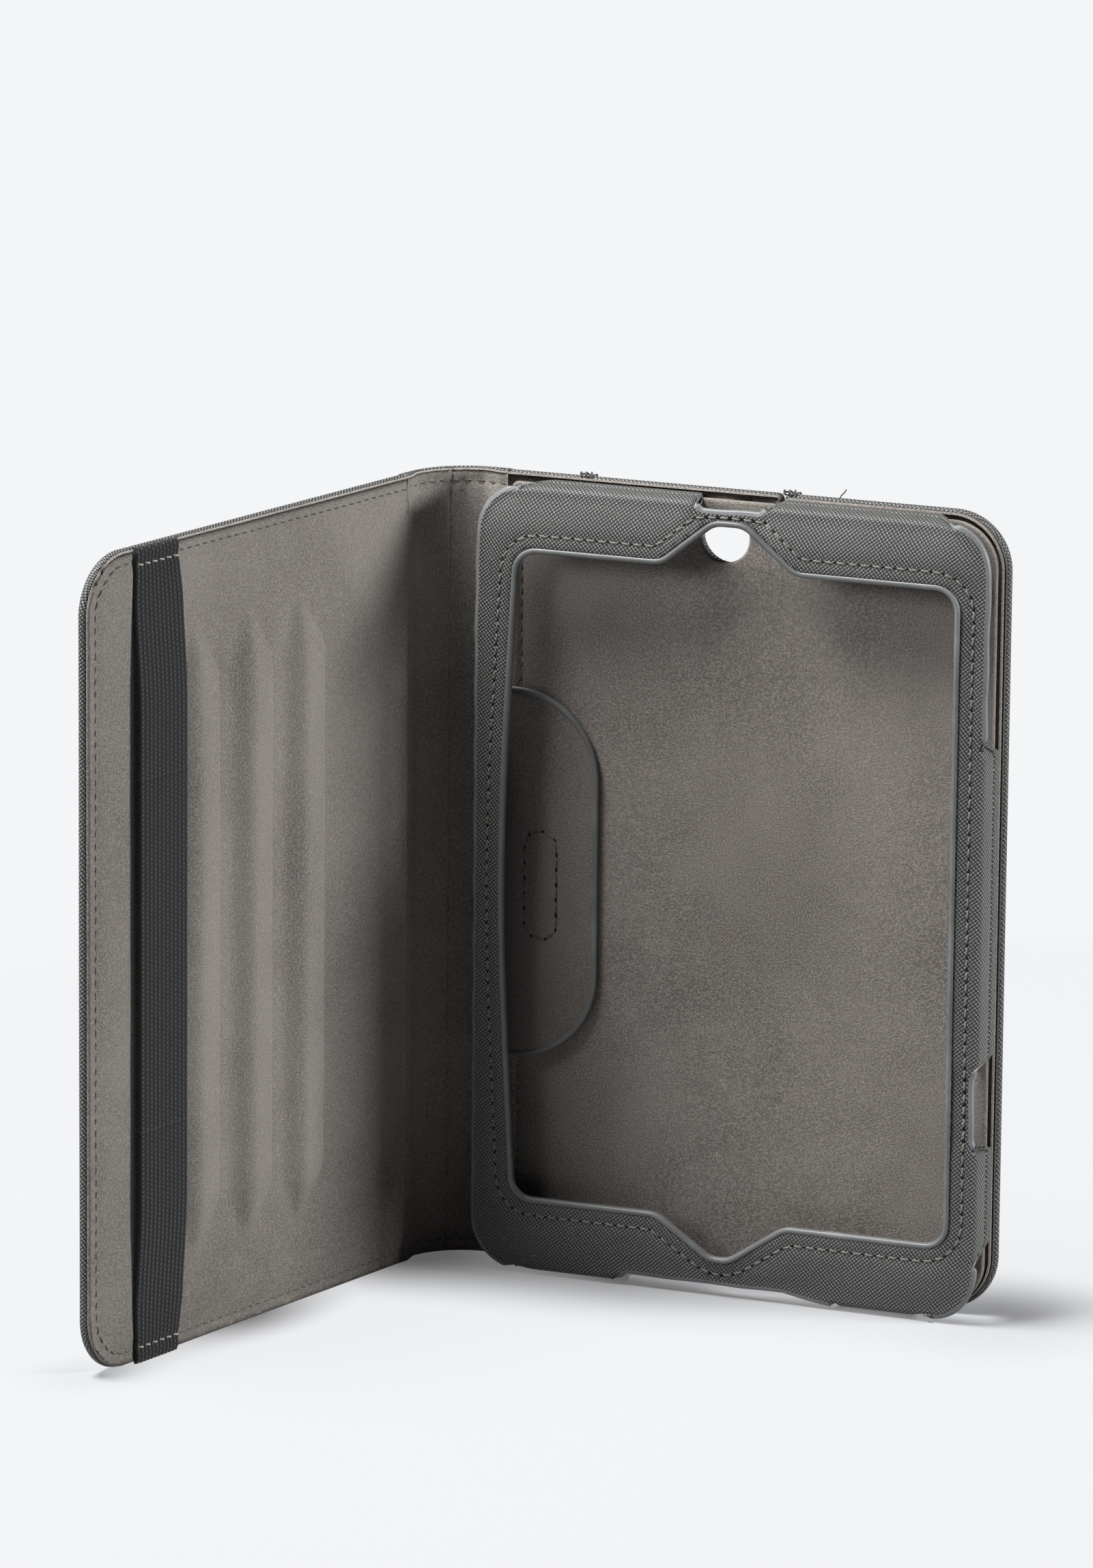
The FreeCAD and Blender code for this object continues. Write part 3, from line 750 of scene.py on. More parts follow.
def soft_panel(name, chains, place, back, front, edge, finish, step=4.0, holes=(), closed=True, outside="front",
               guides=None):
    """Closed sheet with rounded edges. Chains run counter-clockwise; where they are open, the straight lines that
    join them are cuts that meet a neighbour and stay square. Back and front are heights or functions of (u, v)."""
    def height(side, spots):
        return side(*spots.T) if callable(side) else np.full(len(spots), float(side))

    rims = [(chain, closed) for chain in chains] + [(hole, True) for hole in holes]
    inners = [chain + inward(chain, whole) * edge for chain, whole in rims]
    outline, offsets = [], []
    for index, inner in enumerate(inners):
        offsets.append(sum(map(len, outline)))
        outline.append(inner)
        if not rims[index][1]:
            cut = steps_between(inner[-1], inners[(index + 1) % len(chains)][0], CUT_STEP)
            outline.append(np.array(cut).reshape(-1, 2))
    outer = len(outline) - len(holes)
    loops = [np.vstack(outline[:outer]), *outline[outer:]]
    spots, faces = filled(loops, step, guides)
    count = len(spots)
    low, high = height(back, spots), height(front, spots)
    points = [place(*spots.T, low), place(*spots.T, high)]
    flats = [spots, spots]
    look = place(*spots[:1].T, high[:1] + 1)[0] - points[1][0]
    upper = facing(np.vstack(points), [[k + count for k in face] for face in faces], look)
    faces = upper + [[k - count for k in reversed(face)] for face in upper]
    total = 2 * count
    rings = []
    for (chain, whole), inner, offset in zip(rims, inners, offsets):
        size = len(chain)
        normal = inward(chain, whole)
        low, high = height(back, inner), height(front, inner)
        around = [np.arange(size) + offset]
        for angle in np.linspace(-math.pi / 2, math.pi / 2, 9)[1:-1]:
            spot = chain + normal * edge * (1 - math.cos(angle))
            level = np.where(angle <= 0, low + edge * (1 + math.sin(angle)), high - edge * (1 - math.sin(angle)))
            points.append(place(*spot.T, level))
            arc = edge * (angle + math.pi / 2) if outside == "back" else edge * (math.pi / 2 - angle)
            flats.append(inner - normal * arc)
            around.append(np.arange(size) + total)
            total += size
        around.append(around[0] + count)
        for near, far in zip(around, around[1:]):
            faces.extend(strip(near, far, whole))
        rings.append(around)
    ends = []
    for index in range(0 if closed else len(chains)):
        here, ahead = rings[index], rings[(index + 1) % len(chains)]
        last = offsets[index + 1] if index + 1 < len(chains) else len(loops[0])
        cut = list(range(offsets[index] + len(chains[index]), last))
        ends.append([here[0][-1], *cut, *[ring[0] for ring in ahead], *[k + count for k in reversed(cut)],
                     *[ring[-1] for ring in here[:0:-1]]])
    piece = make_piece(name, np.vstack(points), faces + ends, finish, np.vstack(flats))
    return square_cuts(piece, len(faces))


def swept(name, path, sideways, upward, section, finish, closed=True):
    """Tube of a section given as (side, up) pairs, carried along a path with its own side and up directions."""
    section = np.array(section, float)
    count, size = len(path), len(section)
    points = path[:, None] + section[:, :1] * sideways[:, None] + section[:, 1:] * upward[:, None]
    flat = np.stack(np.broadcast_arrays(run_along(section)[None, :], run_along(path)[:, None]), -1).reshape(-1, 2)
    rings = np.arange(count * size).reshape(count, size)
    faces = []
    for k in range(count if closed else count - 1):
        faces.extend(strip(rings[k], rings[(k + 1) % count]))
    if not closed:
        faces.extend([rings[0][::-1], rings[-1]])
    return make_piece(name, points.reshape(-1, 3), faces, finish, flat)


def needle_places(path, normals, pitch, closed):
    """Places at even steps along a sewn line, and the way up at each."""
    both = resampled(np.hstack([path, normals]), pitch, closed)
    return both[:, :3], unit(both[:, 3:])


def stitches(name, path, normals, finish, pitch=3.2, thick=0.5, rise=0.16, slant=0.12, closed=True, fill=0.8):
    """Row of sewn stitches: short bowed lengths of thread that dive into a needle hole at each end."""
    holes, ups = needle_places(path, normals, pitch, closed)
    sides, rows = 6, 7
    ring = round_angles(sides)
    points, faces, flats = [], [], []
    for k in range(len(holes) if closed else len(holes) - 1):
        a, b = holes[k], holes[(k + 1) % len(holes)]
        up = unit(ups[k] + ups[(k + 1) % len(holes)])
        side = np.cross(unit(b - a), up)
        middle, reach = (a + b) / 2, (b - a) * fill / 2
        rings = np.arange(rows * sides).reshape(rows, sides) + len(points) * sides
        for row in range(rows):
            t = row / 3 - 1
            lift = rise - (rise + 0.55 * thick) * abs(t) ** 3
            girth = thick / 2 * (1 - 0.25 * abs(t) ** 3)
            centre = middle + reach * t + up * lift + side * slant * t
            points.append(centre + girth * (np.cos(ring)[:, None] * side + np.sin(ring)[:, None] * up))
            flats.append(np.stack([girth * ring, np.full(sides, np.linalg.norm(b - a) * (t + 1) / 2)], -1))
        for near, far in zip(rings, rings[1:]):
            faces.extend(strip(near, far))
    return make_piece(name, np.vstack(points), faces, finish, np.vstack(flats))


def needle_hole_shadows(name, path, normals, pitch=3.2, width=1.4, closed=True):
    """Small dark lens at each place where the thread goes in, a painted shadow of the hole."""
    holes, ups = needle_places(path, normals, pitch, closed)
    sides = 8
    ring = round_angles(sides)
    points, faces = [], []
    for k, (hole, up) in enumerate(zip(holes, ups)):
        ahead = holes[(k + 1) % len(holes)] if closed or k < len(holes) - 1 else 2 * hole - holes[k - 1]
        along = unit(ahead - hole)
        side = np.cross(along, up)
        rim = 1.25 * np.cos(ring)[:, None] * along + 0.85 * np.sin(ring)[:, None] * side
        base = len(points) * (sides + 1)
        points.append(np.vstack([hole + width / 2 * rim - 0.05 * up, hole + 0.16 * up]))
        faces.extend([base + j, base + (j + 1) % sides, base + sides] for j in range(sides))
    return make_piece(name, np.vstack(points), faces, NEEDLE)


def lay(piece, width, length, under):
    """A lining that is glued down on the panel below it."""
    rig.sheet(piece, flat=(width * MM, length * MM), held="laid", rests_on=[under])


def seat(piece, body, slot, *nodes):
    """Let a piece ride on a body in place of its solids."""
    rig.ride(piece, body)
    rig.slot(piece, slot)
    if nodes:
        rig.replaces(piece, *nodes)
    return piece


def bend(piece, near, far, spots, slot, *nodes):
    """Let a piece bend from one body to the next between two places."""
    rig.blend(piece, near, far, *[tuple(float(c) for c in spot) for spot in spots])
    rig.slot(piece, slot)
    if nodes:
        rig.replaces(piece, *nodes)


def bend_spine(piece, bodies, fold, slot, *nodes):
    """Let a piece of the spine bend at one of its two folds."""
    spots = [on_ribbon(np.array([u]), COVER_HEIGHT / 2, 0.0)[0] * MM for u in fold]
    bend(piece, *bodies, spots, slot, *nodes)


# Window and border of the holder

WINDOW = rounded(
    [(-57.7, 20.2), (-17.7, 20.2), (-2.6, 10.0), (2.6, 10.0), (17.7, 20.2), (61.5, 20.2), (61.5, 191.7),
     (18.2, 191.7), (4.2, 203.0), (-4.2, 203.0), (-18.2, 191.7), (-57.7, 191.7), (-62.3, 105.95)],
    [6, 6.5, 6.5, 6.5, 6.5, 6, 6, 6.5, 6.5, 6.5, 6.5, 6, 700],
)
BORDER = rounded(
    [(-FRAME_HALF, FRAME_LOW), (-28.6, FRAME_LOW), (-26.2, 3.4), (17.0, 3.2), (31.0, FRAME_LOW),
     (FRAME_HALF, FRAME_LOW), (FRAME_HALF, 45.8), (67.5, 49.0), (67.5, 65.0), (FRAME_HALF, 68.2),
     (FRAME_HALF, FRAME_HIGH), (9.4, FRAME_HIGH), (7.6, 205.9), (-8.4, 205.9), (-10.4, FRAME_HIGH),
     (-FRAME_HALF, FRAME_HIGH)],
    [FRAME_CORNER, 2.4, 2, 9, 9, FRAME_CORNER, 2.4, 2.5, 2.5, 2.4, FRAME_CORNER, 2.4, 1.8, 1.8, 2.4, FRAME_CORNER],
    step=0.7,
)
# Side tabs: start, end, length turned under, and how softly the free edge runs into the start and the end.
LEVEL_TABS = {
    FRAME_LOW: ((-53.0, -29.0, 9.0, 7.0, 1.4), (31.6, 51.8, 9.0, 1.4, 7.0)),
    FRAME_HIGH: ((-53.0, -10.8, 3.4, 8.0, 1.4), (9.8, 53.0, 3.4, 1.4, 8.0)),
}
UPRIGHT_TABS = ((20.0, 45.6, 9.0, 5.0, 1.6), (68.4, 149.0, 9.0, 1.6, 4.0))
SEWN_LINE = resampled(WINDOW - inward(WINDOW) * 4.0, 0.9)
SEWN_LINE[:, 1] = np.minimum(SEWN_LINE[:, 1], 204.3 - 0.04 * np.abs(SEWN_LINE[:, 0]))
ROLL = RIM_ROUND * math.pi / 2
WALL = FLANGE_BACK - FRAME_FRONT - RIM_ROUND - FLANGE_ROUND - RIM_DROP
TURN = FLANGE_ROUND * math.pi / 2
# Rows across the wall of a side tab, closest together at its crease.
WALL_ROWS = (1.0, 2.2, 3.4, 4.4, 5.0, 5.4, 5.8, 6.1, 6.4, 6.7, 7.1, 7.6, 8.3)
# Painted cut edge: share of the leather's thickness, and how far the paint stands out there.
PAINT_ROWS = ((0.06, 0.28), (0.3, 0.62), (0.65, 0.66), (0.92, 0.3))


def tab_share():
    """For each point of the outline: 1 where a side tab carries the leather on, 0 at a free edge; and its length."""
    share = np.zeros(len(BORDER))
    turned = np.full(len(BORDER), 3.4)
    sides = [(np.abs(BORDER[:, 1] - z) < 4.0, 0, tabs) for z, tabs in LEVEL_TABS.items()]
    sides.append((np.abs(BORDER[:, 0] - FRAME_HALF) < 4.0, 1, UPRIGHT_TABS))
    for on_side, axis, tabs in sides:
        along = BORDER[:, axis]
        for low, high, length, soft_low, soft_high in tabs:
            here = smooth(along, low - soft_low, low + 1.2) * (1 - smooth(along, high - 1.2, high + soft_high))
            share = np.where(on_side, np.maximum(share, here), share)
            turned = np.where(on_side & (here > 0), length, turned)
    return share, turned


def rim_drop(v):
    """How far the rim lies behind the window's edge; more along the top."""
    return RIM_DROP + TOP_DROP * smooth(v, 165.0, 204.0)


def border_puff(u, v):
    """The border is domed: highest by the window, falling to its rim, with a valley along its sewn line."""
    spots = np.stack([u, v], -1)
    gap = distance_to(spots, WINDOW)
    rim = np.clip(distance_to(spots, BORDER + inward(BORDER) * RIM_ROUND), 0, RIM_SLOPE)
    dome = -rim_drop(v) * (1 - rim / RIM_SLOPE) ** 2
    sewn = -0.28 * np.exp(-(distance_to(spots, SEWN_LINE) / 0.75) ** 2)
    lip = -0.3 * np.exp(-gap / 0.7)
    wave = 0.1 * np.sin(u / 9.0 + v / 13.0) + 0.08 * np.sin(u / 5.2 - v / 7.0)
    return dome + (sewn + lip + wave * smooth(gap, 5, 9)) * smooth(rim, 0.0, 2.5)


def tab_profile(run, drop):
    """Leather over a side: rolled rim, wall with a crease where it is pulled in before the back panel, turned end."""
    first = np.clip(run, 0, ROLL) / RIM_ROUND
    wall = np.clip(run - ROLL, 0, WALL)
    second = np.clip(run - ROLL - WALL, 0, TURN) / FLANGE_ROUND
    under = np.clip(run - ROLL - WALL - TURN, 0, None)
    crease = -1.35 * np.exp(-((wall - 6.2) / 0.7) ** 2) + 0.35 * np.sin(math.pi * np.clip(wall / 5.4, 0, 1))
    out = RIM_ROUND * np.sin(first) - FLANGE_ROUND * (1 - np.cos(second)) - under + crease
    deep = RIM_ROUND * (1 - np.cos(first)) + wall * (WALL + RIM_DROP - drop) / WALL + FLANGE_ROUND * np.sin(second)
    return out, deep


def make_border():
    """Leather border with painted edges; its side tabs fold over the walls and turn under behind the back panel."""
    normal = inward(BORDER)
    flat_edge = BORDER + normal * RIM_ROUND
    window = (WINDOW - inward(WINDOW) * 0.1)[::-1]
    guides = np.vstack([SEWN_LINE + inward(SEWN_LINE) * side for side in (-0.8, 0.0, 0.8)])
    spots, faces = filled([flat_edge, window], 1.6, guides)
    place = on_holder(FRAME_FRONT)
    outer = [place(*spots.T, border_puff(*spots.T))]
    flats = [spots]
    thick = [np.full(len(spots), BORDER_THICK)]
    faces = facing(outer[0], faces, np.array([0, -1.0, 0]))
    share, turned = tab_share()
    drop = rim_drop(flat_edge[:, 1])
    walls = np.concatenate([WALL_ROWS, WALL + TURN * np.linspace(0, 1, 6)])
    runs = np.concatenate([np.linspace(0, ROLL, 8)[1:], ROLL + walls])
    size, count = len(BORDER), len(runs) + 3
    wavy = 0.18 * np.sin(BORDER[:, 0] / 3.1) + 0.14 * np.sin(BORDER[:, 1] / 2.7 + 1)
    before = np.arange(size)
    total = len(spots)
    marks = []
    for number in range(1, count + 1):
        if number <= len(runs):
            run = np.full(size, runs[number - 1])
        else:
            run = runs[-1] + (turned - FLANGE_ROUND) * (number - len(runs)) / 3
        out, deep = tab_profile(run, drop)
        free = (FREE_REACH + wavy) * number / count
        free_out, free_deep = FREE_ROUND * np.sin(free / FREE_ROUND), FREE_ROUND * (1 - np.cos(free / FREE_ROUND))
        out = free_out + (out - free_out) * share
        deep = drop + free_deep + (deep - free_deep) * share
        spot = flat_edge - normal * out[:, None]
        outer.append(place(*spot.T, -deep))
        flats.append(flat_edge - normal * (free + (run - free) * share)[:, None])
        thick.append(BORDER_THICK + (WALL_THICK - BORDER_THICK) * smooth(run, 2.0, 5.0) * share)
        ring = np.arange(size) + total
        total += size
        if number > 0.6 * count:
            marks.extend(len(faces) + k for k in range(size) if share[k] < 0.3)
        faces.extend(strip(before, ring, turned=True))
        before = ring
    outer, flats, thick = np.vstack(outer), np.vstack(flats), np.concatenate(thick)
    looks = np.zeros_like(outer)
    for face in faces:
        a, b, c = (outer[face[k]] for k in (0, 1, 2))
        looks[list(face)] += np.cross(b - a, c - a)
    inner = outer - unit(looks) * thick[:, None]
    whole = len(outer)
    all_faces = list(faces) + [[k + whole for k in reversed(face)] for face in faces]
    ahead = unit(outer[before] - outer[before - size])
    mids = [outer[before] * (1 - part) + inner[before] * part + ahead * push for part, push in PAINT_ROWS]
    rings = [before] + [np.arange(size) + 2 * whole + size * k for k in range(len(mids))] + [before + whole]
    marks.extend(range(len(all_faces), len(all_faces) + size * (len(rings) - 1)))
    for near, far in zip(rings, rings[1:]):
        all_faces.extend(strip(near, far, turned=True))
    hole = np.arange(len(window)) + size
    all_faces.extend(strip(hole, hole + whole, turned=True))
    flat = np.vstack([flats, flats] + [flats[before]] * len(mids))
    # The marked faces at the cut edges take the lighter copy of the edge paint, a painted highlight.
    piece = make_piece("holder_border", np.vstack([outer, inner] + mids), all_faces, LEATHER, flat, EDGE_PAINTED_HIGHLIGHT, marks)
    return seat(piece, "holder", "grain_leather", "frame_leather", "frame_stiffener", "frame_lining", "bottom_tab_left",
                "bottom_tab_right", "top_tab_left", "top_tab_right", "right_tab_lower", "right_tab_upper")


def front_ways(count):
    """The way to the front, once for each point of a row."""
    return np.tile([0.0, -1.0, 0.0], (count, 1))


def edge_bead(name, loop, place, level, section, finish):
    """Bead of paint along a loop on the holder."""
    normal = inward(loop)
    sideways = np.stack([normal[:, 0], np.zeros(len(loop)), normal[:, 1]], -1)
    path = place(*loop.T, np.full(len(loop), level))
    return swept(name, path, sideways, front_ways(len(loop)), section, finish)


def make_window_bead():
    """Rounded, painted edge round the window, and the sewn line beside it."""
    place = on_holder(FRAME_FRONT)
    section = [(-0.75, -0.35), (-0.7, -0.05), (-0.3, 0.12), (0.25, 0.08), (0.62, -0.2), (0.78, -0.8), (0.76, -1.5),
               (0.5, -1.98), (0.0, -2.1), (-0.7, -1.95)]
    piece = edge_bead("window_bead", resampled(WINDOW, 0.7), place, 0.0, section, EDGE)
    seat(piece, "holder", "edge_paint", "window_edge")
    row = place(*SEWN_LINE.T, border_puff(*SEWN_LINE.T))
    normals = front_ways(len(row))
    seat(stitches("window_stitching", row, normals, THREAD), "holder", "grain_leather")
    seat(needle_hole_shadows("window_needle_holes", row, normals), "holder", "grain_leather")


# Back panel of the holder, with the tab that tucks in over it

PATCH = rounded(
    [(-55.8, 87.7), (-51.8, 87.7), (-49.4, 90.1), (-49.4, 113.7), (-51.8, 116.1), (-55.8, 116.1), (-58.2, 113.7),
     (-58.2, 90.1)],
    [1.5] * 8,
)
PATCH_PITCH = 4.1


def panel_wave(u, v):
    seam = -0.3 * np.exp(-((u - LINING_SEAM) / 0.6) ** 2) + 0.25 * (1 - smooth(u, LINING_SEAM - 0.9, LINING_SEAM - 0.2))
    return 1.8 + seam + 0.12 * np.sin(u / 17 + 1) * np.sin(v / 23)


def make_back_panel():
    outline = box_outline(HOLDER_LEFT, 2.0, 68.2, 207.0, [1.5, 12, 12, 1.5])
    place = on_holder(BOARD_BACK)
    along = np.arange(5.0, 204.0, 1.5)
    beside_seam = [LINING_SEAM + off for off in (-1.1, -0.5, 0.0, 0.7)]
    guides = np.vstack([np.stack([np.full(len(along), u), along], -1) for u in beside_seam])
    piece = soft_panel("back_panel", [outline], place, 0.0, panel_wave, 0.85, SUEDE_BACK, 3.0,
                       [circle(*MID_HOLE), circle(*LENS_HOLE)], guides=guides)
    seat(piece, "holder", "suede", "back_lining", "back_board")
    v = np.linspace(3.0, 206.0, 200)
    u = np.full(len(v), LINING_SEAM)
    row = place(u, v, panel_wave(u, v))
    seam = stitches("lining_seam", row, front_ways(len(v)), THREAD_DARK, closed=False, rise=0.05)
    seat(seam, "holder", "suede")
    loops = soft_panel("loop_pile", [PATCH], on_holder(PANEL_FRONT), -0.4, 0.16, 0.2, PILE, 2.0)
    seat(loops, "holder", "hook_and_loop", "loop_patch")


def tab_swell(u, v):
    """Face of the tab, drawn in along the stitches that hold the patch behind it."""
    sewn = -0.22 * np.exp(-(distance_to(np.stack([u, v], -1), PATCH) / 0.8) ** 2)
    return 1.32 + sewn + 0.1 * np.sin(u / 7) * np.sin(v / 19)


def make_tab():
    outline = box_outline(-66.6, 56.0, -38.2, 153.5, [0.8, 23, 23, 0.8])
    within = inward(outline)
    place = on_holder(TAB_BACK)
    leather = soft_panel("tab_leather_back", [outline], place, 0.02, 1.1, 0.5, EDGE, 4.0)
    seat(leather, "tuck_tab", "edge_paint", "tab_leather")
    face = resampled(outline + within * 0.75, 0.8)
    lining = soft_panel("tab_face", [face], place, 0.9, tab_swell, 0.18, SUEDE_TAB_PAINTED_SHADE, 1.6, guides=resampled(PATCH, 0.9))
    seat(lining, "tuck_tab", "suede", "tab_lining")
    lay(lining, 27.0, 96.0, "tab_leather_back")
    section = [(-0.5, -0.4), (-0.55, 0.1), (-0.35, 0.55), (0.2, 0.72), (0.8, 0.66), (1.15, 0.4), (1.05, -0.4)]
    # The tab's edge bead takes the darker copy of the edge paint, a painted shade.
    bead = edge_bead("tab_edge_bead", resampled(outline + within * 0.35, 0.8), place, 0.75, section, EDGE_PAINTED_SHADE)
    seat(bead, "tuck_tab", "edge_paint")
    spots = resampled(PATCH, 0.5)
    row = place(*spots.T, tab_swell(*spots.T))
    normals = front_ways(len(row))
    thread = stitches("patch_stitching", row, normals, THREAD_DARK, PATCH_PITCH, rise=0.1, fill=0.7)
    seat(thread, "tuck_tab", "suede")
    seat(needle_hole_shadows("patch_needle_holes", row, normals, PATCH_PITCH, width=1.55), "tuck_tab", "suede")
    hooks = soft_panel("hook_pile", [PATCH], on_holder(TAB_BACK + 0.12), 0.0, 0.45, 0.2, PILE, 2.0)
    seat(hooks, "tuck_tab", "hook_and_loop", "hook_patch")


def make_tab_strap():
    """Leather that joins the tab to the left rim of the border and bends where the tab lifts."""
    wall_end, turn_round = -7.4, 2.4
    levels = np.concatenate([np.linspace(-13.6, wall_end, 8), np.full(9, wall_end)])
    turn = np.concatenate([np.zeros(8), np.linspace(0, math.pi / 2, 9)])
    x = np.append(-68.75 + turn_round * (1 - np.cos(turn)), -65.6)
    y = np.append(levels + turn_round * np.sin(turn), -5.0)
    path = np.stack([x, y], -1)
    normal = inward(path, False)
    far = run_along(path)
    rows = np.linspace(56.3, 153.2, 40)
    size, count = len(x), len(rows)
    points, flats = [], []
    for shift in (-0.42, 0.42):
        px, py = (path + normal * shift).T
        for z in rows:
            points.append(np.stack([px, py, np.full(size, z)], -1))
            flats.append(np.stack([far, np.full(size, z)], -1))
    back, face = np.arange(2 * count * size).reshape(2, count, size)
    faces = []
    for r in range(count - 1):
        faces.extend(strip(back[r], back[r + 1], False) + strip(face[r + 1], face[r], False))
    faces.extend(strip(back[0], face[0], False, True) + strip(back[-1], face[-1], False))
    faces.extend(strip(back[:, 0], face[:, 0], False) + strip(back[:, -1], face[:, -1], False, True))
    piece = make_piece("tab_strap_bend", np.vstack(points), faces, LEATHER, np.vstack(flats))
    spots = ((-0.0688, -0.0075, 0.1045), (-0.0660, -0.0049, 0.1045))
    bend(piece, "holder", "tuck_tab", spots, "grain_leather", "tab_strap")


# Back cover, spine and front cover

LEG_HOLE = circle(LEG_FOLD - MID_HOLE[0], MID_HOLE[1], MID_HOLE[2] + 0.8)
REST_HOLE = circle(LEG_FOLD - LENS_HOLE[0], LENS_HOLE[1], LENS_HOLE[2] + 0.8)
STAND_PLACE = LEG_FOLD - STAND_FOLD
REST_EDGE = LEG_FOLD - COVER_RIGHT
COVER_CUT = SPINE_LENGTH + FOLD_REACH
EDGE_INSET = 3.6
LINING_SINK = 0.05
LINING_BACK = SHELL_THICK - LINING_SINK
REST_INSET = 0.8
LINING_LOW = 0.4
LINING_HIGH = COVER_HEIGHT - LINING_LOW
LINING_HEIGHT = COVER_HEIGHT - 2 * LINING_LOW
# Sewn lines down the outside of the back cover.
BACK_SEAMS = (("leg", "stand_leg", LEG_FOLD + 44.4), ("rest", "holder", STAND_PLACE - 2.4))
# Halves of the spine: the ends, the two bodies and the fold between them.
SPINE_HALVES = (
    ("leg_side", (-FOLD_REACH, SPINE_MIDDLE), ("stand_leg", "spine"), (-FOLD_REACH + 1, FOLD_REACH - 1)),
    ("cover_side", (SPINE_MIDDLE, COVER_CUT), ("spine", "front_cover"),
     (SPINE_LENGTH - FOLD_REACH + 1, COVER_CUT - 1)),
)


def thin_at_spine(full, thin):
    """Thickness that falls off from the boards to the soft spine."""
    def level(u, v):
        into = smooth(u, -FOLD_REACH + 1, 2.0) * (1 - smooth(u, SPINE_LENGTH - 2.0, COVER_CUT - 1))
        return full + (thin - full) * into
    return level


shell_top = thin_at_spine(SHELL_THICK, SPINE_SHELL)
lining_base = thin_at_spine(LINING_BACK, SPINE_SHELL - LINING_SINK)
lining_plain = thin_at_spine(PANEL_THICK, SPINE_THICK)


def shell_skin(u, v):
    """The outer leather dips a little along the two sewn lines of the back cover."""
    sewn = sum(0.16 * np.exp(-((u - place) / 0.8) ** 2) for _, _, place in BACK_SEAMS)
    return sewn + 0.05 * np.sin(u / 14 + 2) * np.sin(v / 21)


def edge_gap(u, v):
    """Distance from the sewn edges of the covers."""
    return np.minimum(np.minimum(v, COVER_HEIGHT - v), FREE_EDGE - u)


def edge_sewing(u, v):
    """Valley that the edge stitches pull into the lining."""
    return -0.28 * np.exp(-((edge_gap(u, v) - EDGE_INSET) / 0.7) ** 2)


# Lines pressed into the suede by the edges of the boards below it.
EMBOSSED = [
    [(97.5, 195.5), (88.0, 193.8), (72.0, 192.0), (58.0, 192.4), (47.0, 181.0), (38.0, 181.6), (26.6, 184.6),
     (14.0, 184.2)],
    [(97.5, 18.0), (86.0, 19.6), (76.9, 19.4), (64.0, 11.4), (46.1, 13.4), (35.6, 19.3), (14.0, 17.4)],
]


def ridge_ends(v):
    """Full height of a ridge is 1; it dies away to 0 at its pointed ends."""
    return smooth(np.minimum(v - RIDGE_LOW, RIDGE_HIGH - v), 0.0, RIDGE_POINT)


def ridge_runs(run, ends):
    """Distance in from the steep side of each ridge; the ridges draw in towards their ends."""
    return [(run - steep - RIDGE_CREST) / (0.3 + 0.7 * ends) + RIDGE_CREST for steep in RIDGES]


def paint_crest_highlight(piece):
    """Painted highlight: the crests of the ridges are made lighter, standing in for the light that catches them."""
    mesh = piece.data
    flat = np.zeros(len(mesh.vertices) * 3)
    mesh.attributes["flat"].data.foreach_get("vector", flat)
    u, v = flat[0::3] / MM, flat[1::3] / MM
    ends = ridge_ends(v)
    crest_highlight = np.zeros_like(u)
    for across in ridge_runs(u - SPINE_LENGTH, ends):
        crest_highlight = np.maximum(crest_highlight, smooth(across, 0.2, 0.9) * (1 - smooth(across, 7.5, 12.5)) * ends ** 0.5)
    mesh.attributes.new("crest_highlight", "FLOAT", "POINT").data.foreach_set("value", crest_highlight)


def ridge_guides():
    """Points along the steep side of each ridge, so that its edge stays crisp."""
    v = np.arange(RIDGE_LOW + 2, RIDGE_HIGH - 2, 1.6)
    ends = ridge_ends(v)
    rows = []
    for steep in RIDGES:
        start = SPINE_LENGTH + steep + RIDGE_CREST * 0.7 * (1 - ends)
        rows.extend(np.stack([start + reach * (0.3 + 0.7 * ends), v], -1) for reach in (-0.15, 0.3, 0.65, 1.0, 1.5))
    return np.vstack(rows)


def cover_swell(u, v):
    """Suede of the front cover: it follows the stop ridges and the edges of the boards below it."""
    run = u - SPINE_LENGTH
    ends = ridge_ends(v)
    lift = np.zeros_like(u)
    for across in ridge_runs(run, ends):
        rise = smooth(across, 0.0, 0.9) * (0.5 + 0.5 * smooth(across, -3.0, 10.0))
        lift = np.maximum(lift, RIDGE_HEIGHT * rise * (1 - smooth(across, 8.8, RIDGE_TAIL)) * ends ** 0.6)
    spots = np.stack([run, v], -1)
    line = np.full(len(u), 1e3)
    for corners in EMBOSSED:
        chain = rounded(corners, [0] * len(corners), 1.0, closed=False)
        line = np.minimum(line, distance_to(spots, chain))
    pressed = -0.32 * np.exp(-(line / 1.6) ** 2)
    board = 0.2 * smooth(edge_gap(u, v), 4.2, 7.0)
    nap = 0.06 * np.sin(u / 6.1 + v / 15) * np.sin(v / 8.7)
    return lining_plain(u, v) - 0.2 + lift + pressed + board + nap + edge_sewing(u, v)


def spine_swell(u, v):
    """Suede of the spine, with short creases that run in from its sewn edges."""
    low = np.minimum(v, COVER_HEIGHT - v)
    crease = np.zeros_like(u)
    for place, length, depth in ((7.0, 15.0, 0.4), (11.4, 14.0, 0.45), (16.5, 9.0, 0.25), (3.2, 8.0, 0.25)):
        fade = 1 - smooth(low, 3.0, length)
        crease -= depth * fade * np.exp(-((u - place - 0.03 * low) / 0.55) ** 2)
    pucker = 0.12 * np.sin(u * 2.1) * np.exp(-((low - 3.6) / 3.0) ** 2)
    return lining_plain(u, v) - 0.1 + crease + pucker + edge_sewing(u, v) + 0.06 * np.sin(v / 9)


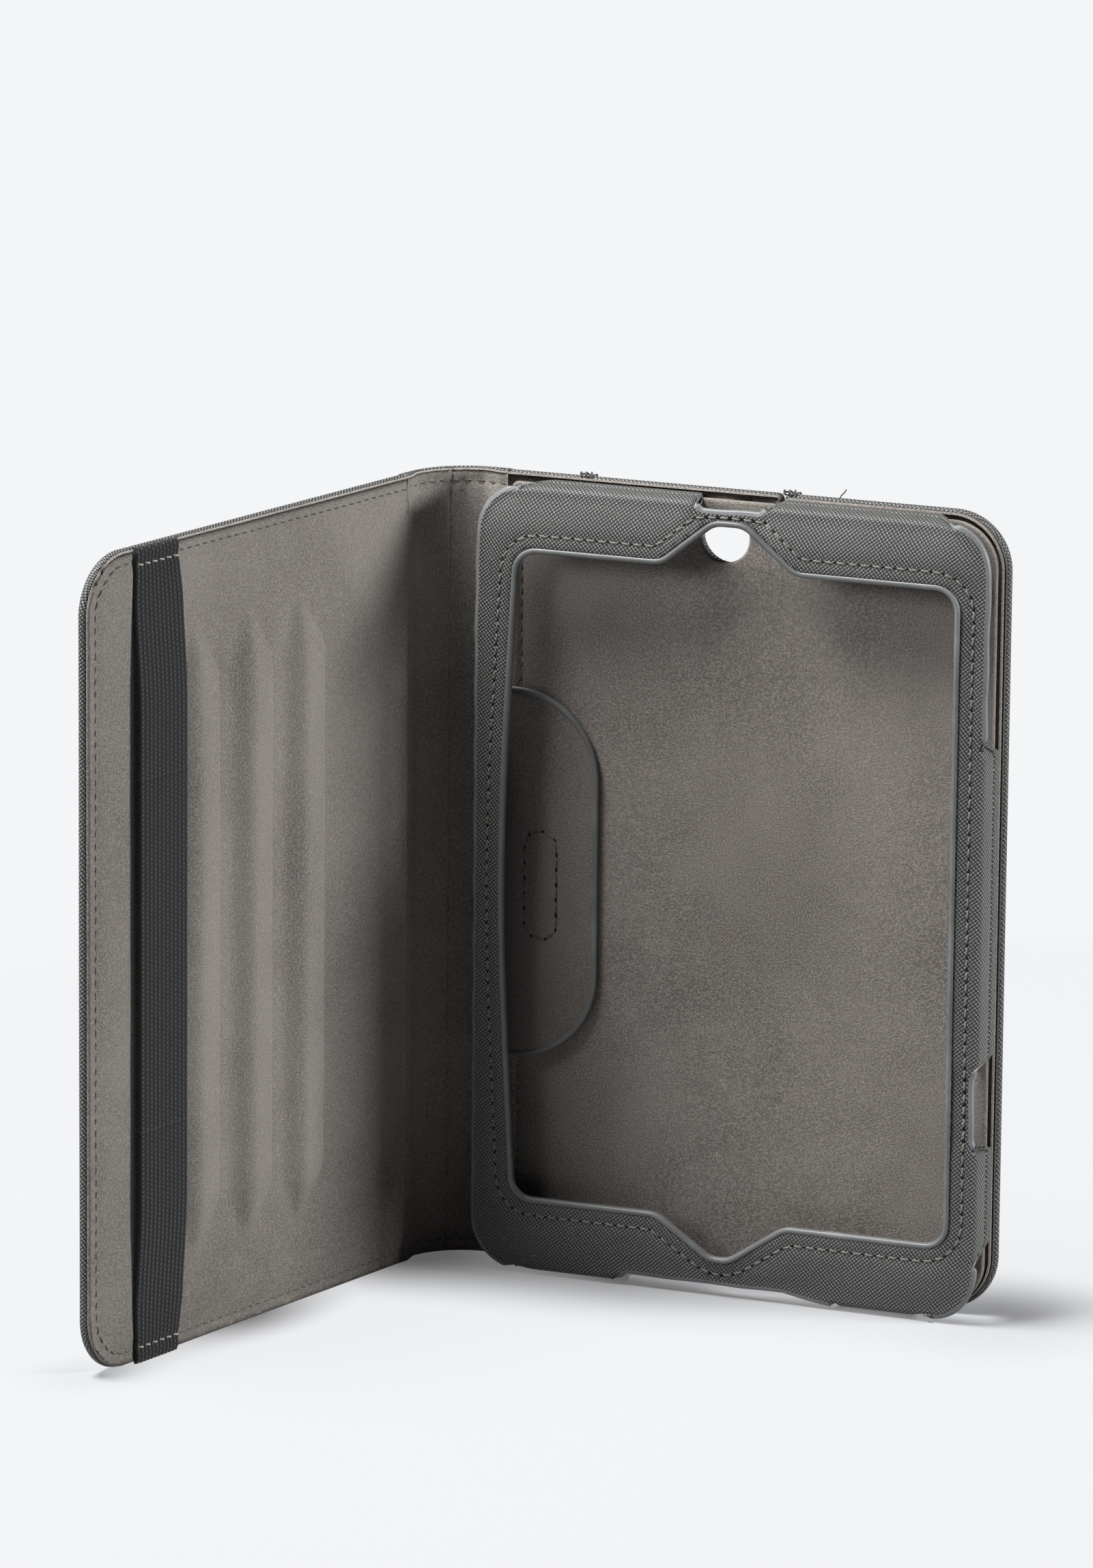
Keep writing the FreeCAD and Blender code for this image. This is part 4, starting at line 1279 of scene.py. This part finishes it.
def level_chains(near, far, low=0.0, high=COVER_HEIGHT):
    """Bottom edge and top edge of a strip that is cut square at both ends; together they run counter-clockwise."""
    count = max(3, math.ceil(far - near) + 1)
    u = np.linspace(near, far, count)
    return [np.stack([u, np.full(count, low)], -1), np.stack([u[::-1], np.full(count, high)], -1)]


def make_shell(name, body, outline, top, holes=(), closed=False):
    """Leather of one panel of the covers, with its board inside."""
    shell = soft_panel(name + "_shell", [outline], on_ribbon, shell_skin, top, 1.2, LEATHER, 3.0, holes, closed, "back")
    seat(shell, body, "grain_leather", name + "_skin", name + "_board")


def make_covers():
    rest = box_outline(REST_EDGE, 0, STAND_PLACE - 0.1, COVER_HEIGHT, [COVER_CORNER, 1.6, 1.6, COVER_CORNER])
    rest_inner = box_outline(REST_EDGE + 1.5, REST_INSET, STAND_PLACE - 0.5, COVER_HEIGHT - REST_INSET,
                             [14.0, 1.2, 1.2, 14.0])
    make_shell("rest", "holder", rest, SHELL_THICK, [REST_HOLE], closed=True)
    lining = soft_panel("rest_suede", [rest_inner], on_ribbon, LINING_BACK, PANEL_THICK + 0.28, 0.4, SUEDE_BACK, 4.0,
                        [REST_HOLE])
    seat(lining, "holder", "suede", "rest_lining")
    lay(lining, STAND_PLACE - REST_EDGE - 2.0, COVER_HEIGHT - 2 * REST_INSET, "rest_shell")

    leg = box_outline(-FOLD_REACH, COVER_HEIGHT, STAND_PLACE + 0.1, 0, [0, 1.6, 1.6, 0], closed=False)
    leg_inner = box_outline(-FOLD_REACH, LINING_HIGH, STAND_PLACE + 0.5, LINING_LOW, [0, 1.2, 1.2, 0], closed=False)
    make_shell("leg", "stand_leg", leg, shell_top, [LEG_HOLE])
    lining = soft_panel("leg_suede", [leg_inner], on_ribbon, lining_base, lining_plain, 0.4, SUEDE_BACK, 4.0,
                        [LEG_HOLE], closed=False)
    seat(lining, "stand_leg", "suede", "leg_lining")
    lay(lining, -FOLD_REACH - STAND_PLACE - 0.5, LINING_HEIGHT, "leg_shell")

    for name, ends, bodies, fold in SPINE_HALVES:
        first = name == "leg_side"
        shell = soft_panel("spine_shell_" + name, level_chains(*ends), on_ribbon, shell_skin, shell_top, 0.48, LEATHER,
                           1.5, closed=False, outside="back")
        bend_spine(shell, bodies, fold, "grain_leather", *(["spine_skin"] if first else []))
        lining = soft_panel("spine_suede_" + name, level_chains(*ends, LINING_LOW, LINING_HIGH), on_ribbon, lining_base,
                            spine_swell, 0.35, SUEDE_COVER_PAINTED_LIGHT, 1.0, closed=False)
        bend_spine(lining, bodies, fold, "suede", *(["spine_lining"] if first else []))
        lay(lining, ends[1] - ends[0], LINING_HEIGHT, shell.name)

    cover = box_outline(COVER_CUT, 0, FREE_EDGE, COVER_HEIGHT, [0, COVER_CORNER, COVER_CORNER, 0], closed=False)
    cover_inner = box_outline(COVER_CUT, LINING_LOW, FREE_EDGE - 0.5, LINING_HIGH,
                              [0, COVER_CORNER - 0.5, COVER_CORNER - 0.5, 0], closed=False)
    make_shell("cover", "front_cover", cover, SHELL_THICK)
    lining = soft_panel("cover_suede", [cover_inner], on_ribbon, LINING_BACK, cover_swell, 0.42, SUEDE_COVER_PAINTED_LIGHT, 1.5,
                        closed=False, guides=ridge_guides())
    # Painted highlight on the crests of the ridges.
    paint_crest_highlight(lining)
    lay(lining, FREE_EDGE - 0.5 - COVER_CUT, LINING_HEIGHT, "cover_shell")
    seat(lining, "front_cover", "suede", "cover_lining", "ridge_1", "ridge_2", "ridge_3")


def edge_stitches(name, spots, level):
    """Sewn line in the lining near an edge."""
    line = on_ribbon(*spots.T, level(*spots.T))
    up = on_ribbon(*spots.T, 1.0) - on_ribbon(*spots.T, 0.0)
    return stitches(name, line, up, THREAD_DARK, closed=False, rise=0.1, thick=0.45)


def make_edge_stitching():
    """Sewn line near the edges of the front cover and across the ends of the spine."""
    low, high = EDGE_INSET, COVER_HEIGHT - EDGE_INSET
    path = box_outline(COVER_CUT, low, FREE_EDGE - EDGE_INSET, high, [0, 11.4, 11.4, 0], closed=False)
    seat(edge_stitches("cover_stitching", path, cover_swell), "front_cover", "suede")
    for name, ends, bodies, fold in SPINE_HALVES:
        for end, v in (("low", low), ("high", high)):
            spots = np.stack([np.linspace(*ends, 30), np.full(30, v)], -1)
            piece = edge_stitches("spine_stitching_%s_%s" % (name, end), spots, spine_swell)
            bend_spine(piece, bodies, fold, "suede")


def make_back_sewing():
    """Two sewn lines down the outside of the back cover."""
    for name, body, place in BACK_SEAMS:
        v = np.linspace(2.0, 207.0, 220)
        u = np.full(len(v), place)
        line = on_ribbon(u, v, shell_skin(u, v))
        up = -front_ways(len(v))
        seat(stitches("%s_back_stitching" % name, line, up, THREAD, closed=False), body, "grain_leather")
        seat(needle_hole_shadows("%s_back_needle_holes" % name, line, up, closed=False), body, "grain_leather")


# Elastic band

def band_level(v):
    """The stretched band stands off the lining between its sewn ends."""
    near_end = np.minimum(v, COVER_HEIGHT - v)
    return PANEL_THICK - 0.1 + 1.5 * smooth(near_end, 9.0, 42.0)


BAND_ROWS = np.concatenate(
    [np.linspace(-0.2, 12, 18)[:-1], np.linspace(12, 197, 120), np.linspace(197, 209.2, 18)[1:]])
BAND_LENGTHS = (("lower", -1.0, 60.0), ("middle", 60.0, 149.0), ("upper", 149.0, 210.0))
BAND_PLACE = SPINE_LENGTH + 1.4
BAND_COLUMNS = 12
BAND_SEWN = 4.2


def band_points():
    """Face and back of the ribbed band, row by row, and their places on the flat elastic."""
    across = np.linspace(0, 1, BAND_COLUMNS * 8 + 1)
    rib = 0.22 * np.abs(np.sin(across * math.pi * BAND_COLUMNS)) ** 0.7
    rim = np.sqrt(np.clip(1 - (2 * across - 1) ** 12, 0, 1))
    points, flats = [], []
    for v in BAND_ROWS:
        near_end = min(v, COVER_HEIGHT - v)
        draw = 1.3 * (1 - smooth(near_end, 2.0, 16.0))
        left, right = BAND_OUT - 0.35 * draw, BAND_IN + 1.3 * draw
        u = left + (right - left) * across + BAND_PLACE
        level = band_level(v)
        dip = 0.35 * math.exp(-((near_end - BAND_SEWN) / 0.9) ** 2)
        fold = 0.55 * (1 - smooth(near_end, -0.2, 1.4))
        top = level + 0.15 + (BAND_THICK - 0.15 + rib) * (0.35 + 0.65 * rim) - dip - fold
        points.append([on_ribbon(u, v, top), on_ribbon(u, v, level)])
        flats.append([np.stack([across * (BAND_OUT - BAND_IN), np.full(len(across), v)], -1)] * 2)
    return np.array(points), np.array(flats)


def make_band():
    """The band is cut into a lower, a middle and an upper length; the outer two bend as the middle is pulled out."""
    points, flats = band_points()
    middle = (BAND_OUT + BAND_IN) / 2 + SPINE_LENGTH
    for name, low, high in BAND_LENGTHS:
        first = int(np.searchsorted(BAND_ROWS, low))
        last = min(int(np.searchsorted(BAND_ROWS, high)), len(BAND_ROWS) - 1)
        here = points[first:last + 1]
        grid = np.arange(here.size // 3).reshape(here.shape[:3])
        faces = []
        for near, far in zip(grid, grid[1:]):
            faces.extend(strip(near[0], far[0], False) + strip(near[1], far[1], False, True))
            faces.append([near[0][0], far[0][0], far[1][0], near[1][0]])
            faces.append([near[1][-1], far[1][-1], far[0][-1], near[0][-1]])
        low_end = strip(*grid[0], False, True)
        high_end = [face[::-1] for face in strip(*grid[-1], False, True)]
        sewn = {"lower": low_end, "middle": [], "upper": high_end}[name]
        cuts = {"lower": high_end, "middle": low_end + high_end, "upper": low_end}[name]
        part = make_piece("elastic_" + name, here.reshape(-1, 3), faces + sewn + cuts, ELASTIC,
                          flats[first:last + 1].reshape(-1, 2))
        square_cuts(part, len(faces + sewn))
        length = float(BAND_ROWS[last] - BAND_ROWS[first])
        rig.sheet(part, flat=((BAND_OUT - BAND_IN) * MM, length * MM), held="stretched", rests_on=["cover_suede"])
        if name == "middle":
            seat(part, "band", "elastic", "elastic_band")
            continue
        ends = (8.0, BAND_ROWS[last]) if name == "lower" else (201.0, BAND_ROWS[first])
        spots = [on_ribbon(np.array([middle]), v, PANEL_THICK)[0] * MM for v in ends]
        bend(part, "front_cover", "band", spots, "elastic", "band_tack_bottom" if name == "lower" else "band_tack_top")
    u = np.linspace(BAND_OUT - 0.8, BAND_IN + 1.8, 20) + BAND_PLACE
    for name, v in (("lower", BAND_SEWN), ("upper", COVER_HEIGHT - BAND_SEWN)):
        level = band_level(v) + BAND_THICK - 0.1
        line = on_ribbon(u, v, level)
        up = on_ribbon(u, v, level + 1) - line
        piece = stitches("band_stitching_" + name, line, up, THREAD_LIGHT, 3.0, 0.55, 0.2, 0.2, closed=False, fill=0.72)
        seat(piece, "front_cover", "elastic")


# Thread ends left standing where the sewn lines reach the top of the back cover

def thread_end(name, body, spots, thick):
    path = resampled(np.array(spots, float), 0.4, closed=False)
    along = unit(np.gradient(path, axis=0))
    side = unit(np.cross(along, [0.31, 0.87, 0.38]))
    up = np.cross(side, along)
    ring = round_angles(6)
    section = np.stack([np.cos(ring), np.sin(ring)], -1) * thick / 2
    seat(swept(name, path, side, up, section, THREAD_DARK, closed=False), body, "grain_leather")


def make_thread_ends():
    for name, body, x in (("leg", "stand_leg", -44.4), ("rest", "holder", 11.0)):
        turns = np.linspace(0, 4.3 * math.tau, 90)
        lump = np.stack([x - 2.2 + 4.4 * turns / turns[-1] + 0.4 * np.cos(turns * 1.7), 0.9 + 1.0 * np.sin(turns),
                         209.1 + 0.6 * np.cos(turns) + 0.3 * np.sin(0.7 * turns)], -1)
        thread_end(name + "_knot", body, lump, 0.48)
    tail = [(24.0, 1.0, 208.6), (24.4, 0.9, 209.6), (25.3, 0.6, 210.4), (26.0, 0.5, 211.4)]
    thread_end("rest_loose_end", "holder", tail, 0.35)


make_border()
make_window_bead()
make_back_panel()
make_tab()
make_tab_strap()
make_covers()
make_edge_stitching()
make_back_sewing()
make_band()
make_thread_ends()


# Studio

PAPER = "f4f5f7"
# Soft lights: place, what they point at, width and power.
LIGHTS = (
    ("left", (-1.25, -1.5, 0.9), (0.0, -0.05, 0.1), 0.9, 27.0),
    ("right", (1.2, 0.2, 0.5), (-0.1, -0.08, 0.1), 0.26, 19.5),
    ("top", (-0.5, -0.32, 1.25), (0.0, -0.05, 0.1), 0.5, 33.0),
)
WORLD_FILL = 0.04
CAMERA_PLACE = (0.8582, -2.3066, 0.7165)
CAMERA_TURNS = (21.59, 13.36, 0.53)
SENSOR_WIDTH = 36.0
# Focal length in picture widths.
LENS_REACH = 14504.0 / 1601.0


def make_floor():
    count, radii = 24, (0.4, 1.2, 4.0)
    points = [(0.0, 0.0, 0.0)]
    points += [(r * math.cos(a) * 1000, r * math.sin(a) * 1000, 0.0) for r in radii for a in round_angles(count)]
    faces = [[0, 1 + k, 1 + (k + 1) % count] for k in range(count)]
    rings = 1 + np.arange(len(radii) * count).reshape(len(radii), count)
    for near, far in zip(rings, rings[1:]):
        faces.extend(strip(near, far, turned=True))
    paper = studio_floor("studio_floor", PAPER, 0.05)
    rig.stage(make_piece("studio_floor", np.array(points) - (0, 0, 0.05), faces, paper))


def make_world():
    """Weak even fill; straight behind the case the paper is seen instead."""
    world = bpy.data.worlds.new("studio")
    bpy.context.scene.world = world
    world.use_nodes = True
    nodes = world.node_tree.nodes
    path, seen = nodes.new("ShaderNodeLightPath"), nodes.new("ShaderNodeMath")
    seen.operation = "MAXIMUM"
    fill, paper, mix = nodes["Background"], nodes.new("ShaderNodeBackground"), nodes.new("ShaderNodeMixShader")
    for light, tint, strength in ((fill, (1.0, 1.0, 1.0, 1.0), WORLD_FILL), (paper, colour(PAPER), 1.0)):
        light.inputs["Color"].default_value = tint
        light.inputs["Strength"].default_value = strength
    for source, target in (
            (path.outputs["Is Camera Ray"], seen.inputs[0]), (path.outputs["Is Transmission Ray"], seen.inputs[1]),
            (seen.outputs[0], mix.inputs[0]), (fill.outputs[0], mix.inputs[1]), (paper.outputs[0], mix.inputs[2]),
            (mix.outputs[0], nodes["World Output"].inputs["Surface"])):
        world.node_tree.links.new(source, target)


def soft_light(name, spot, target, width, power):
    data = bpy.data.lights.new(name, "AREA")
    data.shape = "RECTANGLE"
    data.size = width
    data.size_y = width * 0.8
    data.energy = power
    lamp = bpy.data.objects.new(name, data)
    bpy.context.scene.collection.objects.link(lamp)
    lamp.location = spot
    lamp.rotation_euler = (Vector(target) - Vector(spot)).to_track_quat("-Z", "Y").to_euler()


def make_camera():
    """Long lens, above and to the right of the holder, looking down at it."""
    yaw, pitch, roll = map(math.radians, CAMERA_TURNS)
    ahead = Vector((-math.sin(yaw) * math.cos(pitch), math.cos(yaw) * math.cos(pitch), -math.sin(pitch)))
    right = Vector((math.cos(yaw), math.sin(yaw), 0.0))
    up = right.cross(ahead)
    right, up = right * math.cos(roll) + up * math.sin(roll), up * math.cos(roll) - right * math.sin(roll)
    data = bpy.data.cameras.new("camera")
    data.sensor_fit = "HORIZONTAL"
    data.sensor_width = SENSOR_WIDTH
    data.lens = LENS_REACH * SENSOR_WIDTH
    data.clip_end = 100.0
    camera = bpy.data.objects.new("camera", data)
    bpy.context.scene.collection.objects.link(camera)
    turn = Matrix((right, up, -ahead)).transposed().to_4x4()
    camera.matrix_world = Matrix.Translation(CAMERA_PLACE) @ turn
    bpy.context.scene.camera = camera


make_floor()
make_world()
for light in LIGHTS:
    soft_light(*light)
make_camera()
bpy.context.scene.view_settings.view_transform = "Standard"

with open("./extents.json", "w") as out:
    json.dump({"cad": [list(map(float, corner)) for corner in cad_box],
               "visual": [list(map(float, corner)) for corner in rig.bounds()]}, out)
